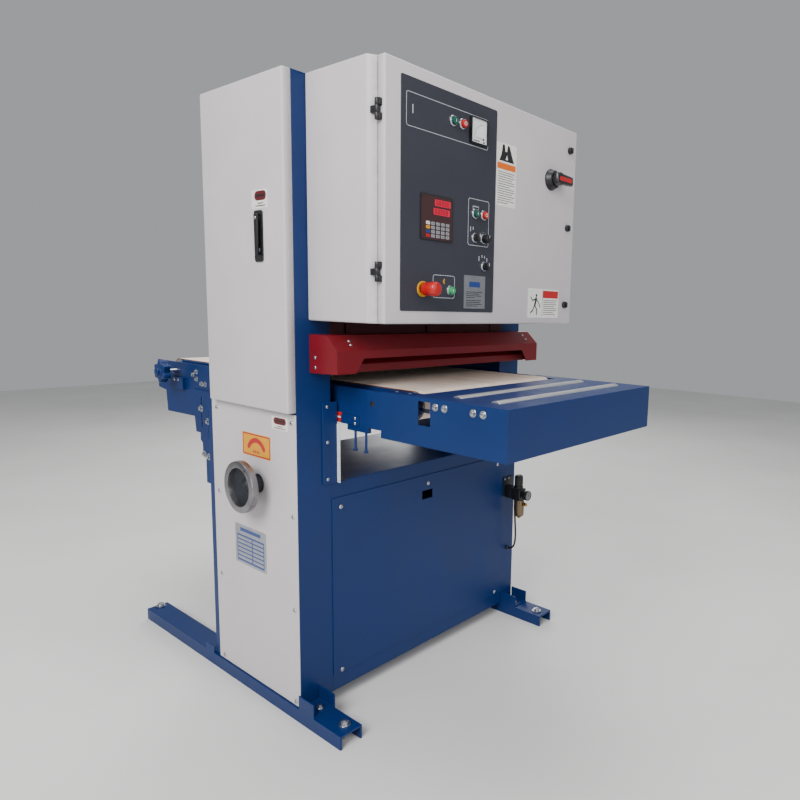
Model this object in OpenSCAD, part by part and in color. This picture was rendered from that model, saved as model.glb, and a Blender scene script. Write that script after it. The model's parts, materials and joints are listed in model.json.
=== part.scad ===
/* [Frame] */
// Overall width across the two side columns
body_w = 1090; // [1080:2:1100]
// Overall height of the machine
body_h = 1950; // [1930:5:1980]
// Width of one column
column_w = 123; // [118:1:124]
// Height of the foot rails
rail_h = 44; // [40:1:50]
// Width of one foot rail
rail_w = 81; // [75:1:85]
// Sheet thickness of the columns and the base
wall = 5; // [4:0.5:6]

/* [Sanding head] */
// Radius of the rubber covered contact drum
drum_r = 89; // [85:1:92]
// Radius of the upper tension roller
tension_r = 60; // [55:1:64]
// Distance between the two belt axes
belt_span = 526; // [516:2:534]
// Width of the sanding belt
belt_w = 635; // [620:5:640]
// Radius of the pressure rollers
pressure_r = 30; // [26:1:31]

/* [Feed table] */
// Height of the feed belt above the floor
table_z = 1063; // [1058:1:1064]
// Width of the feed belt
feed_w = 660; // [640:5:664]
// Radius of the feed belt rollers
feed_r = 40; // [38:1:41]
// Radius of the two idler rollers in the infeed tray
idler_r = 25; // [23:1:26]

/* [Controls] */
// Outer radius of the handwheel
wheel_r = 82.5; // [78:0.5:86]
// Radius of the push button caps
cap_r = 11; // [10:0.5:11.5]
// Radius of the emergency stop head
mushroom_r = 20; // [18:1:22]

/* [Hidden] */
$fn = 48;

blue = "#10437c";
light = "#c9c4c4";
red = "#85202a";
dark = "#4a4b55";
black = "#1c1c1f";
steel = "#b4b6b8";
rubber = "#2d2b2a";

fit = 0.06;                 // radial clearance of a running fit
gap = 0.3;                  // clearance between a belt and its rollers
half_w = body_w / 2 - 3;    // outer face of a column
inner_x = half_w - column_w;
front_y = -272;
base_rear_y = 244;
head_rear_y = 176;
shelf_z = 1040;             // floor of the belt bay in the left column
base_top_z = 751;
roof_t = 3;
column_top = body_h - roof_t;
end_x = 616;                // outermost face on both sides
end_y = 948;                // outermost face at the infeed and the outfeed

drum_y = -48;
drum_z = table_z + 38 + drum_r;
top_z = drum_z + belt_span;
belt_t = 1.2;
drum_shaft_r = 20;
bearing_x = 330;
pulley_x = [575, 603];
motor_z = 330;
motor_pulley_r = 75;
drum_pulley_r = 55;
drive_belt_t = 8;
pressure_y = [drum_y - 125, drum_y + 125];
pressure_z = table_z + 36 + pressure_r;
roller_half = 320;

feed_t = 2.5;
feed_z = table_z - feed_t - gap - feed_r;
feed_front_y = -549.5;
feed_rear_y = 880.5;
side_x = 389;               // outer face of the table side plates
idler_y = [-715, -851];
idler_z = table_z + 2.5 - idler_r;

screw_x = 480;
screw_r = 15;
nut_z = [925, 965];
chain_z = [145, 155];
sprocket_r = 40;
wheel_y = -65;
wheel_z = 736;
worm_r = 15;
worm_gear_r = -wheel_y - worm_r - 0.5;

box_x = [-496, 454];
box_z = [1260, body_h];
lip_y = [-560, -535];       // the walls taper in over this depth to the door frame
door_x = [-480, 438];
door_y = [-588, -560.5];
door_z = [1260, body_h - 5];
door_axis = [-489, -569];
side_hinge = [-547, 178];
panel_y = [-590, -588];
hinge_z = [1371, 1783];
latch_x = 392;
latch_zs = [1874, 1604, 1329];
switch_pos = [280, 1756];
start_pos = [-226, 1836];
stop_pos = [-186, 1836];
feed_start_pos = [-123, 1591];
feed_stop_pos = [-82, 1591];
feed_select_pos = [-122, 1520];
speed_pos = [-82, 1520];
mode_pos = [-76, 1437];
reset_pos = [-228, 1358];
estop_pos = [-340, 1358];
meter_pos = [-116, 1830];
button_places = [start_pos, stop_pos, feed_start_pos, feed_stop_pos, feed_select_pos, speed_pos, mode_pos,
  reset_pos, estop_pos];

side_door_x = [-571, -545];
side_door_y = [-272, 173];
side_door_z = [986, body_h];
lever_pos = [-147, 1552];
bar_axis = [-300, 1160];    // pivot of the infeed safety bar
hood_half = 493;
regulator_pos = [495, -332];
knob_pos = [762, 1024];     // star knob on the outfeed side plate
tube_r = 4;
// Route of the short air tube from the regulator to the gland on the column
tube_route = [[495, -313.5, 512], [495, -313.5, 498], [495.3, -313.6, 480], [496, -314, 462],
  [496.8, -314.6, 444], [497.6, -315.5, 426], [498.3, -316.5, 408], [499, -317.5, 390],
  [499.5, -318.3, 372], [500, -318.8, 354], [500, -318.5, 337], [500, -317, 321],
  [500, -313.5, 307], [500, -307.5, 296], [500, -299, 289], [500, -292, 286.5], [500, -284, 286.5]];

// A box from three [low, high] spans
module span(x, y, z) {
  translate([x[0], y[0], z[0]]) cube([x[1] - x[0], y[1] - y[0], z[1] - z[0]]);
}

// Rods along each axis, given by a [low, high] span and two centre coordinates
module rod_x(x, y, z, r) {
  translate([x[0], y, z]) rotate([0, 90, 0]) cylinder(h = x[1] - x[0], r = r);
}
module rod_y(y, x, z, r) {
  translate([x, y[1], z]) rotate([90, 0, 0]) cylinder(h = y[1] - y[0], r = r);
}
module rod_z(z, x, y, r) {
  translate([x, y, z[0]]) cylinder(h = z[1] - z[0], r = r);
}

// A profile in the YZ plane, extruded from x[0] to x[1]
module side_profile(x, points) {
  translate([x[0], 0, 0]) rotate([90, 0, 90]) linear_extrude(x[1] - x[0]) polygon(points);
}

// A profile in the XZ plane, extruded from y[0] to y[1]
module front_profile(y, points) {
  translate([0, y[1], 0]) rotate([90, 0, 0]) linear_extrude(y[1] - y[0]) polygon(points);
}

// The same shape on both sides of the machine
module both_sides() {
  children();
  mirror([1, 0, 0]) children();
}

// An endless belt round two pulleys, axis along Z, the second pulley at +X
// Its straight runs are a hair thinner than the arcs, so that their ends lie inside them
module belt_loop(r_a, r_b, dist, thick, width) {
  wrap = acos((r_a - r_b) / dist);
  run = dist * sin(wrap);
  lap = 0.8;
  hair = 0.05;
  rotate(wrap) rotate_extrude(angle = 360 - 2 * wrap) translate([r_a, 0]) square([thick, width]);
  translate([dist, 0, 0]) rotate(-wrap) rotate_extrude(angle = 2 * wrap)
    translate([r_b, 0]) square([thick, width]);
  for (side = [0, 1])
    mirror([0, side, 0]) translate([r_a * cos(wrap), r_a * sin(wrap), 0]) rotate(wrap - 90)
      translate([-lap, hair, 0]) cube([run + 2 * lap, thick - 2 * hair, width]);
}

// Hexagon bolt head on a washer, standing on the XY plane
module bolt_head(r) {
  cylinder(h = 2, r = r * 1.5);
  translate([0, 0, 2]) cylinder(h = r * 0.8, r = r, $fn = 6);
}

// ---- frame ----

module base_frame() {
  opening_half = 392;
  color(blue) difference() {
    span([-inner_x, inner_x], [front_y, base_rear_y], [rail_h, base_top_z]);
    span([-inner_x - 1, inner_x + 1], [front_y + wall, base_rear_y - wall],
      [rail_h + wall, base_top_z - wall]);
    span([-opening_half, opening_half], [front_y - 1, front_y + wall + 1], [125, 675]);
  }
}

module left_column() {
  color(blue) difference() {
    union() {
      span([-half_w, -inner_x], [front_y, base_rear_y], [rail_h, shelf_z - 55]);
      span([-half_w, -inner_x], [front_y, head_rear_y], [shelf_z - 55, column_top]);
    }
    // lower bay for the lifting gear, open to the outside under the side panel
    span([-half_w - 1, -half_w + 4], [front_y + wall, 205], [rail_h + wall, shelf_z - 55 - wall]);
    span([-half_w + 3, -inner_x - wall], [front_y + wall, base_rear_y - wall],
      [rail_h + wall, shelf_z - 55 - wall]);
    span([-half_w + 3, -inner_x - wall], [front_y + wall, head_rear_y - wall], [shelf_z - 60, shelf_z]);
    // belt bay, open on both faces so that the belt slides out
    span([-half_w - 1, -inner_x + 1], [front_y + 30, head_rear_y - 24], [shelf_z + wall, column_top - 30]);
    span([-half_w - 1, -inner_x - wall], [front_y + wall, head_rear_y - wall],
      [shelf_z + wall, column_top - 30]);
    // slot for the lift arm and the two runs of the chain
    span([-inner_x - wall - 1, -inner_x + 1], [-34, 34], [795, 1005]);
    span([-inner_x - wall - 1, -inner_x + 1], [-52, 52], [chain_z[0] - 8, chain_z[1] + 8]);
  }
}

module right_column() {
  color(blue) difference() {
    union() {
      span([inner_x, half_w], [front_y, base_rear_y], [rail_h, shelf_z - 55]);
      span([inner_x, half_w], [front_y, head_rear_y], [shelf_z - 55, column_top]);
    }
    span([inner_x + wall, half_w - wall], [front_y + wall, base_rear_y - wall],
      [rail_h + wall, shelf_z - 55 - wall]);
    span([inner_x + wall, half_w - wall], [front_y + wall, head_rear_y - wall], [shelf_z - 60, shelf_z]);
    span([inner_x + wall, half_w - wall], [front_y + wall, head_rear_y - wall],
      [shelf_z + wall, column_top - wall]);
    span([inner_x - 1, inner_x + wall + 1], [-34, 34], [795, 1005]);
    span([inner_x - 1, inner_x + wall + 1], [-52, 52], [chain_z[0] - 8, chain_z[1] + 8]);
    rod_x([inner_x - 1, half_w + 1], drum_y, drum_z, drum_shaft_r + 2);
    rod_x([inner_x - 1, half_w + 1], drum_y, motor_z, 24);
  }
}

module head_beam() {
  beam_z = [1330, 1560];
  color(dark) difference() {
    union() {
      span([-352, inner_x], [drum_y - 50, drum_y + 50], beam_z);
      both_sides() span([337, 352], [drum_y - 45, drum_y + 45], [1232, 1331]);
    }
    rod_z([1440, beam_z[1] + 1], 0, drum_y, 12.5 + fit);
  }
  // plain bearing housings of the contact drum
  color(steel) both_sides() difference() {
    union() {
      rod_x([bearing_x, 352], drum_y, drum_z, 38);
      span([bearing_x + 1, 352], [drum_y - 36, drum_y + 36], [drum_z, 1232]);
    }
    rod_x([bearing_x - 1, 353], drum_y, drum_z, drum_shaft_r + fit);
  }
}

module foot_rails() {
  rail_x = [half_w + 9 - rail_w, half_w + 9];
  bolt_x = 504;
  color(blue) both_sides() {
    difference() {
      span(rail_x, [-479, 781], [0, rail_h]);
      span([rail_x[0] + 6, rail_x[1] - 6], [-480, 782], [-1, rail_h - 6]);
      for (y = [-439, 764]) rod_z([0, rail_h + 1], bolt_x, y, 9);
    }
    foot_bracket(rail_x, [front_y - 77, front_y], 46);
    foot_bracket(rail_x, [base_rear_y, base_rear_y + 60], 24);
  }
}

// U-shaped bracket that holds a column to its foot rail
module foot_bracket(x, y, ear) {
  difference() {
    span(x, y, [rail_h, rail_h + ear]);
    span([x[0] + 5, x[1] - 5], [y[0] - 1, y[1] + 1], [rail_h + 5, rail_h + ear + 1]);
  }
}

module frame_covers() {
  cover_t = 3;
  color(blue) {
    difference() {
      span([-417, 452], [front_y - cover_t, front_y], [100, 699]);
      span([-18, 35], [front_y - cover_t - 1, front_y + 1], [610, 642]);
    }
    // angle that closes the lift slot and carries the thickness scale
    span([-452, -396], [front_y - 4, front_y], [750, 1009]);
  }
  color("#e6e2d8") span([-398, -396], [front_y - 17, front_y - 4], [750, 940]);
}

module side_panel() {
  color(light) difference() {
    span([-half_w - 3, -half_w], [front_y, 211], [46, 980]);
    rod_x([-half_w - 4, -half_w + 1], wheel_y, wheel_z, 30);
  }
}

module frame_screws() {
  color(steel) {
    // anchor bolts in the foot rails and bolts of the foot brackets
    for (side = [-1, 1]) {
      for (y = [-439, 764]) {
        rod_z([2, rail_h], side * 504, y, 8.5);
        rod_z([rail_h, rail_h + 4], side * 504, y, 19);
        translate([side * 504, y, rail_h + 4]) cylinder(h = 11, r = 12, $fn = 6);
      }
      translate([side * 504, front_y - 46, rail_h + 5]) bolt_head(9);
    }
    // side panel
    for (y = [-252, 178], z = [62, 366, 664, 954]) rod_x([-half_w - 7, -half_w - 3], y, z, 7.5);
    // front cover of the base
    for (x = [-384, 12, 420]) rod_y([front_y - 7, front_y - 3], x, 667, 7.5);
    for (x = [-384, 420]) rod_y([front_y - 7, front_y - 3], x, 108, 7.5);
    // angle on the left column
    for (z = [766, 884, 996]) rod_y([front_y - 7, front_y - 4], -434, z, 5.5);
    // hood ends
    both_sides() for (z = [1122, 1151]) rod_x([hood_half, hood_half + 3], front_y - 27, z, 5.5);
  }
}

module rear_cover() {
  collar_r = 62.5;
  color(steel) {
    side_barrel(0, 30);
    for (z = [1060, 1440, 1820]) span([side_hinge[0], -510], [head_rear_y, head_rear_y + 3], [z, z + 30]);
  }
  color(blue) {
    difference() {
      union() {
        span([-half_w, half_w], [front_y, head_rear_y], [column_top, body_h]);
        span([-inner_x, inner_x], [head_rear_y - 4, head_rear_y], [1108, column_top]);
        for (x = [-190, 190]) rod_y([head_rear_y - 4, head_rear_y + 64], x, 1480, collar_r);
      }
      for (x = [-190, 190]) rod_y([head_rear_y - 5, head_rear_y + 65], x, 1480, collar_r - 2.5);
    }
    // ears of the rear pressure roller
    both_sides() difference() {
      span([333, 343], [pressure_y[1] - 20, head_rear_y - 4], [pressure_z - 18, pressure_z + 22]);
      rod_x([332, 344], pressure_y[1], pressure_z, 10 + fit);
    }
  }
}

module drive_guard() {
  half = 102;
  low_z = motor_z - 110;
  high_z = drum_z + 100;
  color(light) difference() {
    span([half_w, end_x], [drum_y - half, drum_y + half], [low_z, high_z]);
    span([half_w - 1, end_x - 2.5], [drum_y - half + 2.5, drum_y + half - 2.5], [low_z + 2.5, high_z - 2.5]);
  }
}

module main_motor() {
  motor_r = 95;
  color(blue) {
    rod_x([90, 380], drum_y, motor_z, motor_r);
    for (turn = [0 : 20 : 340])
      translate([110, drum_y, motor_z]) rotate([turn, 0, 0])
        translate([0, -2, motor_r - 2]) cube([230, 4, 12]);
    rod_x([380, 398], drum_y, motor_z, 60);
    for (y = [drum_y - 125, drum_y + 105]) span([130, 330], [y, y + 20], [rail_h + wall, motor_z - 20]);
    span([150, 310], [drum_y - 110, drum_y + 110], [motor_z - 60, motor_z - 50]);
    span([170, 270], [drum_y - 60, drum_y + 60], [motor_z + 80, motor_z + 150]);
  }
}

module drive_belt() {
  color(black) translate([pulley_x[1], drum_y, motor_z]) rotate([0, -90, 0])
    belt_loop(motor_pulley_r, drum_pulley_r, drum_z - motor_z, drive_belt_t, pulley_x[1] - pulley_x[0]);
}

module sanding_belt() {
  color("#7a3f26") translate([belt_w / 2, drum_y, drum_z]) rotate([0, -90, 0])
    belt_loop(drum_r + gap, tension_r + gap, belt_span, belt_t, belt_w);
}

// ---- electrical enclosure ----

// The middle third of a hinge is on the enclosure, the outer thirds are on the door
module hinge_knuckle(low, high) {
  for (z = hinge_z) rod_z([z + low, z + high], door_axis[0], door_axis[1], 6.5);
}

// Solid outline of the enclosure, drawn in by t all round
module enclosure_body(t, front) {
  translate([0, 0, box_z[0] + t]) linear_extrude(box_z[1] - box_z[0] - 2 * t)
    polygon([[box_x[0] + t, front_y - t], [box_x[0] + t, lip_y[1]], [door_x[0] + t, front],
      [door_x[1] - t, front], [box_x[1] - t, lip_y[1]], [box_x[1] - t, front_y - t]]);
}

module enclosure() {
  t = 3;
  color(light) difference() {
    enclosure_body(0, lip_y[0]);
    enclosure_body(t, lip_y[0] - 0.01);
  }
  color(black) {
    hinge_knuckle(17.3, 35.7);
    for (z = hinge_z) span([-493, -485], [door_axis[1], -545], [z + 17.3, z + 35.7]);
  }
}

module control_gear() {
  plate_y = -285;
  color(steel) {
    span([-450, 395], [plate_y, plate_y + 3], [1300, 1910]);
    for (x = [-430, 375], z = [1320, 1890]) rod_y([plate_y + 3, front_y - 3], x, z, 8);
  }
  color("#3a3f46") span([-400, -230], [plate_y - 150, plate_y], [1560, 1860]);
  color("#d9d9d2") for (i = [0 : 5])
    span([-150 + i * 70, -96 + i * 70], [plate_y - 90, plate_y], [1700, 1790]);
  color("#8c8f90") for (z = [1640, 1500]) span([-170, 370], [plate_y - 50, plate_y], [z, z + 40]);
  color("#b9a15a") for (i = [0 : 11])
    span([-380 + i * 60, -330 + i * 60], [plate_y - 60, plate_y], [1360, 1420]);
  color("#7b5a3a") span([200, 340], [plate_y - 110, plate_y], [1560, 1625]);
}

// One push button hole through door and panel
module button_holes(y, r) {
  for (p = button_places) rod_y(y, p[0], p[1], r);
}

// Opening for the keypad unit
module keypad_hole(y) {
  span([-343.3, -232.7], y, [1504.7, 1610.3]);
}

module elec_door() {
  t = 3;
  color(light) difference() {
    span(door_x, door_y, door_z);
    span([door_x[0] + t, door_x[1] - t], [door_y[0] + t, door_y[1] + 1], [door_z[0] + t, door_z[1] - t]);
    button_holes([door_y[0] - 1, door_y[0] + t + 1], cap_r + 0.5);
    keypad_hole([door_y[0] - 1, door_y[0] + t + 1]);
    for (z = latch_zs) rod_y([door_y[0] - 1, door_y[0] + t + 1], latch_x, z, 8 + fit);
    rod_y([door_y[0] - 1, door_y[0] + t + 1], switch_pos[0], switch_pos[1], 8);
  }
}

module control_panel() {
  color(dark) difference() {
    span([-425, -25], panel_y, [1296, 1911]);
    button_holes([panel_y[0] - 1, panel_y[1] + 1], cap_r + 0.5);
    keypad_hole([panel_y[0] - 1, panel_y[1] + 1]);
  }
  // keypad unit with two displays
  color(black) {
    span([-353, -223], [panel_y[0] - 3, panel_y[0]], [1495, 1620]);
    span([-343, -233], [panel_y[0] - 1, -550], [1505, 1610]);
  }
}

// Fixed part of a control: a ring on the panel and a contact block behind the door
module control_base(p, ring_r, ring_h) {
  difference() {
    rod_y([panel_y[0] - ring_h, panel_y[0]], p[0], p[1], ring_r);
    rod_y([panel_y[0] - ring_h - 1, panel_y[0] + 1], p[0], p[1], cap_r + 0.3);
  }
  difference() {
    span([p[0] - 15, p[0] + 15], [door_y[0] + 3, -545], [p[1] - 20, p[1] + 20]);
    rod_y([door_y[0], -544], p[0], p[1], 9 + fit);
  }
}

module door_fittings() {
  color(steel) {
    for (p = button_places) if (p != estop_pos) control_base(p, 15, 6);
  }
  color("#e8b420") control_base(estop_pos, 27, 3);
  color(black) {
    // disconnect switch base and its body behind the door
    difference() {
      union() {
        rod_y([-610, door_y[0]], switch_pos[0], switch_pos[1], 36);
        span([switch_pos[0] - 35, switch_pos[0] + 35], [door_y[0] + 3, -520],
          [switch_pos[1] - 35, switch_pos[1] + 35]);
      }
      rod_y([-611, -560], switch_pos[0], switch_pos[1], 7 + fit);
    }
    hinge_knuckle(0, 17);
    hinge_knuckle(36, 53);
    for (z = hinge_z, low = [0, 36]) span([door_axis[0], door_x[0]], [-575, -568], [z + low, z + low + 17]);
  }
}

module disconnect_handle() {
  color(black) {
    rod_y([-636, -611], switch_pos[0], switch_pos[1], 22);
    span([switch_pos[0] - 26, switch_pos[0] + 74], [-636, -618], [switch_pos[1] - 13, switch_pos[1] + 13]);
    rod_y([-612, -562], switch_pos[0], switch_pos[1], 7);
  }
}

module latch(z) {
  color(black) {
    rod_y([-599, door_y[0]], latch_x, z, 12);
    span([latch_x - 3, latch_x + 3], [-605, -598], [z - 10, z + 10]);
    rod_y([-589, -566], latch_x, z, 8);
    span([latch_x - 9, latch_x + 30], [-570, -566], [z - 9, z + 9]);
  }
}

module meter() {
  case_half = 38;
  color(black) difference() {
    span([meter_pos[0] - case_half, meter_pos[0] + case_half], [panel_y[0] - 14, panel_y[0]],
      [meter_pos[1] - case_half, meter_pos[1] + case_half]);
    span([meter_pos[0] - 33, meter_pos[0] + 33], [panel_y[0] - 15, panel_y[0] - 6],
      [meter_pos[1] - 28, meter_pos[1] + 33]);
  }
}

module meter_needle() {
  color(black) {
    rod_y([panel_y[0] - 10, panel_y[0] - 6.5], meter_pos[0] + 20, meter_pos[1] - 20, 4);
    span([meter_pos[0] - 20, meter_pos[0] + 20], [panel_y[0] - 10, panel_y[0] - 9],
      [meter_pos[1] - 21, meter_pos[1] - 19]);
  }
}

module push_button(p, tone) {
  color(tone) {
    rod_y([-605, -595], p[0], p[1], cap_r);
    rod_y([-596, -550], p[0], p[1], 9);
  }
}

module selector(p) {
  color(black) {
    rod_y([-602, -592], p[0], p[1], cap_r);
    span([p[0] - 4, p[0] + 4], [-614, -601], [p[1] - 12, p[1] + 12]);
    rod_y([-593, -550], p[0], p[1], 9);
  }
}

module speed_knob() {
  color(black) {
    rod_y([-618, -597], speed_pos[0], speed_pos[1], 13);
    rod_y([-598, -550], speed_pos[0], speed_pos[1], 9);
  }
}

module estop_button() {
  color("#d8231f") {
    rod_y([-626, -600], estop_pos[0], estop_pos[1], 16);
    translate([estop_pos[0], -626, estop_pos[1]]) rotate([90, 0, 0]) rotate_extrude()
      polygon(concat([[0, 0], [mushroom_r, 0]],
        [for (a = [0 : 15 : 90]) [mushroom_r - 8 + 8 * cos(a), 18 + 8 * sin(a)]], [[0, 26]]));
    rod_y([-601, -548], estop_pos[0], estop_pos[1], 9);
  }
}

// ---- side door ----

// Barrels of the side door's three hinges, at the rear edge
module side_barrel(low, high) {
  for (z = [1060, 1440, 1820]) rod_z([z + low, z + high], side_hinge[0], side_hinge[1], 4);
}

module side_door() {
  t = 2.5;
  color(steel) {
    side_barrel(30.3, 60);
    for (z = [1060, 1440, 1820]) span([-551, side_hinge[0]], [172.9, side_hinge[1]], [z + 30.3, z + 60]);
  }
  color(light) difference() {
    span(side_door_x, side_door_y, side_door_z);
    span([side_door_x[0] + t, side_door_x[1] + 1], [side_door_y[0] + t, side_door_y[1] - t],
      [side_door_z[0] + t, side_door_z[1] - t]);
    rod_x([side_door_x[0] - 1, side_door_x[0] + t + 1], lever_pos[0], lever_pos[1], 7 + fit);
  }
  // mounting plate of the swing handle
  color(black) difference() {
    span([side_door_x[0] - 4, side_door_x[0]], [-168, -126], [1427, 1574]);
    rod_x([side_door_x[0] - 5, side_door_x[0] + 1], lever_pos[0], lever_pos[1], 7 + fit);
  }
}

module door_handle() {
  color(black) {
    span([-585, -575.5], [lever_pos[0] - 11, lever_pos[0] + 11], [1446, 1564]);
    rod_x([-576, -556], lever_pos[0], lever_pos[1], 7);
    span([-560, -556], [lever_pos[0] - 9, lever_pos[0] + 9], [lever_pos[1] - 9, lever_pos[1] + 40]);
  }
}

// ---- infeed guard ----

module infeed_hood() {
  t = 3;
  top = 1219;
  nose_y = front_y - 130;
  fold_y = front_y - 82;
  fold_z = 1175;
  lip_z = 1151;
  color(red) {
    side_profile([-hood_half + t, hood_half - t], [[front_y, top], [fold_y, top], [nose_y, fold_z],
      [nose_y, lip_z], [nose_y + t, lip_z], [nose_y + t, fold_z - 2], [fold_y + 1, top - t],
      [front_y, top - t]]);
    both_sides() {
      difference() {
        side_profile([hood_half - t, hood_half], [[front_y, top], [fold_y, top], [nose_y, fold_z],
          [nose_y, 1108], [front_y, 1104]]);
        rod_x([hood_half - t - 1, hood_half + 1], bar_axis[0], bar_axis[1], 6 + fit);
      }
      front_profile([nose_y, nose_y + t],
        [[hood_half - t, 1108], [423, 1108], [394, lip_z], [hood_half - t, lip_z]]);
    }
  }
}

module infeed_bar() {
  half = hood_half - 4;
  color(red) {
    rod_x([-half - 3.5, half + 3.5], bar_axis[0], bar_axis[1], 6);
    side_profile([-half, half], [[-298, 1158], [-338, 1128], [-338, 1104], [-310, 1104], [-310, 1107],
      [-335, 1107], [-335, 1126], [-296, 1155]]);
  }
}

module head_plate() {
  color("#5a161d") {
    difference() {
      span([-inner_x, inner_x], [front_y, front_y + 4], [1120, 1400]);
      for (x = [-360, -5, 348]) span([x - 3, x + 3], [front_y - 1, front_y + 5], [1150, 1300]);
    }
    both_sides() difference() {
      span([333, 343], [front_y + 4, pressure_y[0] + 20], [pressure_z - 18, pressure_z + 22]);
      rod_x([332, 344], pressure_y[0], pressure_z, 10 + fit);
    }
  }
}

// ---- lifting gear ----

module lift_drive() {
  box = [[-537, -inner_x - wall], [wheel_y - 24, 58], [706, 766]];
  color(black) difference() {
    union() {
      span(box[0], box[1], box[2]);
      rod_x([-562, box[0][0] + 1], wheel_y, wheel_z, 28);
    }
    span([box[0][0] + 6, box[0][1] - 5], [box[1][0] + 6, box[1][1] - 6], [716, 756]);
    rod_x([-563, box[0][1] + 1], wheel_y, wheel_z, 10 + fit);
    rod_z([700, 770], -screw_x, 0, screw_r + fit);
  }
  color(steel) {
    translate([-screw_x, 0, chain_z[0]])
      belt_loop(sprocket_r + gap, sprocket_r + gap, 2 * screw_x, 5, chain_z[1] - chain_z[0]);
    both_sides() difference() {
      rod_z([rail_h + wall, 100], screw_x, 0, 32);
      rod_z([60, 101], screw_x, 0, screw_r + fit);
    }
  }
}

module lift_screw(side) {
  color(steel) {
    rod_z([62, shelf_z - 4], side * screw_x, 0, screw_r);
    rod_z(chain_z, side * screw_x, 0, sprocket_r);
  }
  if (side < 0) color("#b08d4a") rod_z([724, 748], -screw_x, 0, worm_gear_r);
}

module handwheel() {
  face = -end_x;
  color(steel) {
    translate([face, wheel_y, wheel_z]) rotate([0, 90, 0]) rotate_extrude()
      polygon([[58, 3], [61, 0], [wheel_r - 5, 0], [wheel_r, 5], [wheel_r, 18], [wheel_r - 5, 23], [60, 23],
        [22, 32], [22, 46], [0, 46], [0, 20], [14, 20], [22, 26], [58, 17]]);
    rod_x([face + 40, -441], wheel_y, wheel_z, 10);
    rod_x([-500, -460], wheel_y, wheel_z, worm_r);
  }
}

// ---- feed table ----

module table_frame() {
  table_bolts = [[619, 1030], [646, 1016], [619, 1001], [580, 985], [552, 985]];
  plate_x = [side_x - 5, side_x];
  flange_x = [338, 345];
  color(blue) {
    // side plates with the deep outfeed end
    both_sides() difference() {
      side_profile(plate_x, [[-477, 943], [-477, 1058], [end_y, 1058], [end_y, 941], [883, 933], [874, 845],
        [642, 849], [600, 943]]);
      rod_x([plate_x[0] - 1, plate_x[1] + 1], feed_rear_y, feed_z, 12.5 + fit);
    }
    // bed with its two flanges
    span([-flange_x[1], flange_x[1]], [-476, 825], [feed_z + feed_r - 12, feed_z + feed_r]);
    both_sides() {
      difference() {
        span(flange_x, [-575, 905], [1000, feed_z + feed_r - 12]);
        for (y = [feed_front_y, feed_rear_y])
          rod_x([flange_x[0] - 1, flange_x[1] + 1], y, feed_z, 12.5 + fit);
      }
      for (y = [-412, -20, 400]) span([flange_x[1], plate_x[0]], [y, y + 8], [1000, 1040]);
      span([0, plate_x[0]], [930, 938], [1000, 1040]);
      // arm to the lift nut
      difference() {
        union() {
          span([side_x, screw_x], [-28, 28], nut_z);
          rod_z(nut_z, screw_x, 0, 28);
        }
        rod_z([nut_z[0] - 1, nut_z[1] + 1], screw_x, 0, screw_r + fit);
      }
      span([plate_x[1], plate_x[1] + 5], [-477, -415], [943, 1058]);
    }
    span([-plate_x[0], plate_x[0]], [-28, 28], nut_z);
    // foot that carries the depth stop rods
    span([-side_x, -side_x + 12], [-414, -316], [925, 944]);
    // pointer arm in front of the scale
    span([-side_x - 4, -side_x], [-375, -290], [943, 970]);
    // guide bracket under the outfeed end
    difference() {
      side_profile([-side_x - 5, -side_x], [[440, 960], [637, 960], [637, 849], [628, 789], [595, 789],
        [595, 761], [580, 749], [580, 700], [557, 690], [557, 592], [470, 592]]);
      for (slot = [[578, 815, 935], [526, 770, 888]])
        span([-side_x - 6, -side_x + 1], [slot[0] - 5, slot[0] + 5], [slot[1], slot[2]]);
    }
    span([-side_x - 14, -side_x], [708, 813], [950, 998]);
  }
  color("#c23a30") span([-side_x - 3.5, -side_x], [-290, -262], [946, 976]);
  color(steel) {
    // depth stop rods and belt tension screw
    for (y = [-348, -398]) {
      rod_z([869, 926], -side_x + 6, y, 4);
      rod_z([862, 869], -side_x + 6, y, 7);
    }
    both_sides() {
      rod_y([-690, -575], 362, feed_z - 3, 6);
      span([345, 374], [-575, -563], [feed_z - 18, feed_z + 12]);
    }
    for (p = [[581, 888], [530, 842], [566, 706], [532, 700]])
      translate([-side_x - 5, p[0], p[1]]) rotate([0, -90, 0]) bolt_head(9);
    for (p = table_bolts) translate([-side_x, p[0], p[1]]) rotate([0, -90, 0]) bolt_head(7);
  }
}

module infeed_extension() {
  t = 3;
  top = table_z - 3;         // a little under the belt, so that the idlers stand proud
  x = side_x + 5;
  rear = -477;
  slot = sqrt(pow(idler_r, 2) - pow(top - t - idler_z, 2)) + 1.5;  // half width, clear of the roller
  color(blue) {
    difference() {
      span([-x, x], [-end_y, rear], [921, top]);
      span([-x + t, x - t], [-end_y + t, rear + 1], [920, top - t]);
      span([-feed_w / 2 - 7, feed_w / 2 + 7], [-599, rear + 1], [top - t - 1, top + 1]);
      for (y = idler_y) span([-327, 327], [y - slot, y + slot], [top - t - 1, top + 1]);
      span([-x - 1, -x + t + 1], [-678, -630], [981, 1049]);
    }
    // bearing brackets of the idler rollers
    both_sides() for (y = idler_y) difference() {
      span([332, x - t], [y - 28, y + 28], [idler_z - 15, top - t]);
      rod_x([331, 361], y, idler_z, 8 + fit);
    }
  }
  color(steel) {
    both_sides() for (y = idler_y, step = [-17, 17])
      translate([x, y + step, 1038]) rotate([0, 90, 0]) bolt_head(7);
    for (y = [-510, -565]) rod_z([top, top + 3], -x + 33, y, 6);
  }
}

module idler_roller(y) {
  color(steel) {
    rod_x([-325, 325], y, idler_z, idler_r);
    rod_x([-358, 358], y, idler_z, 8);
  }
}

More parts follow.
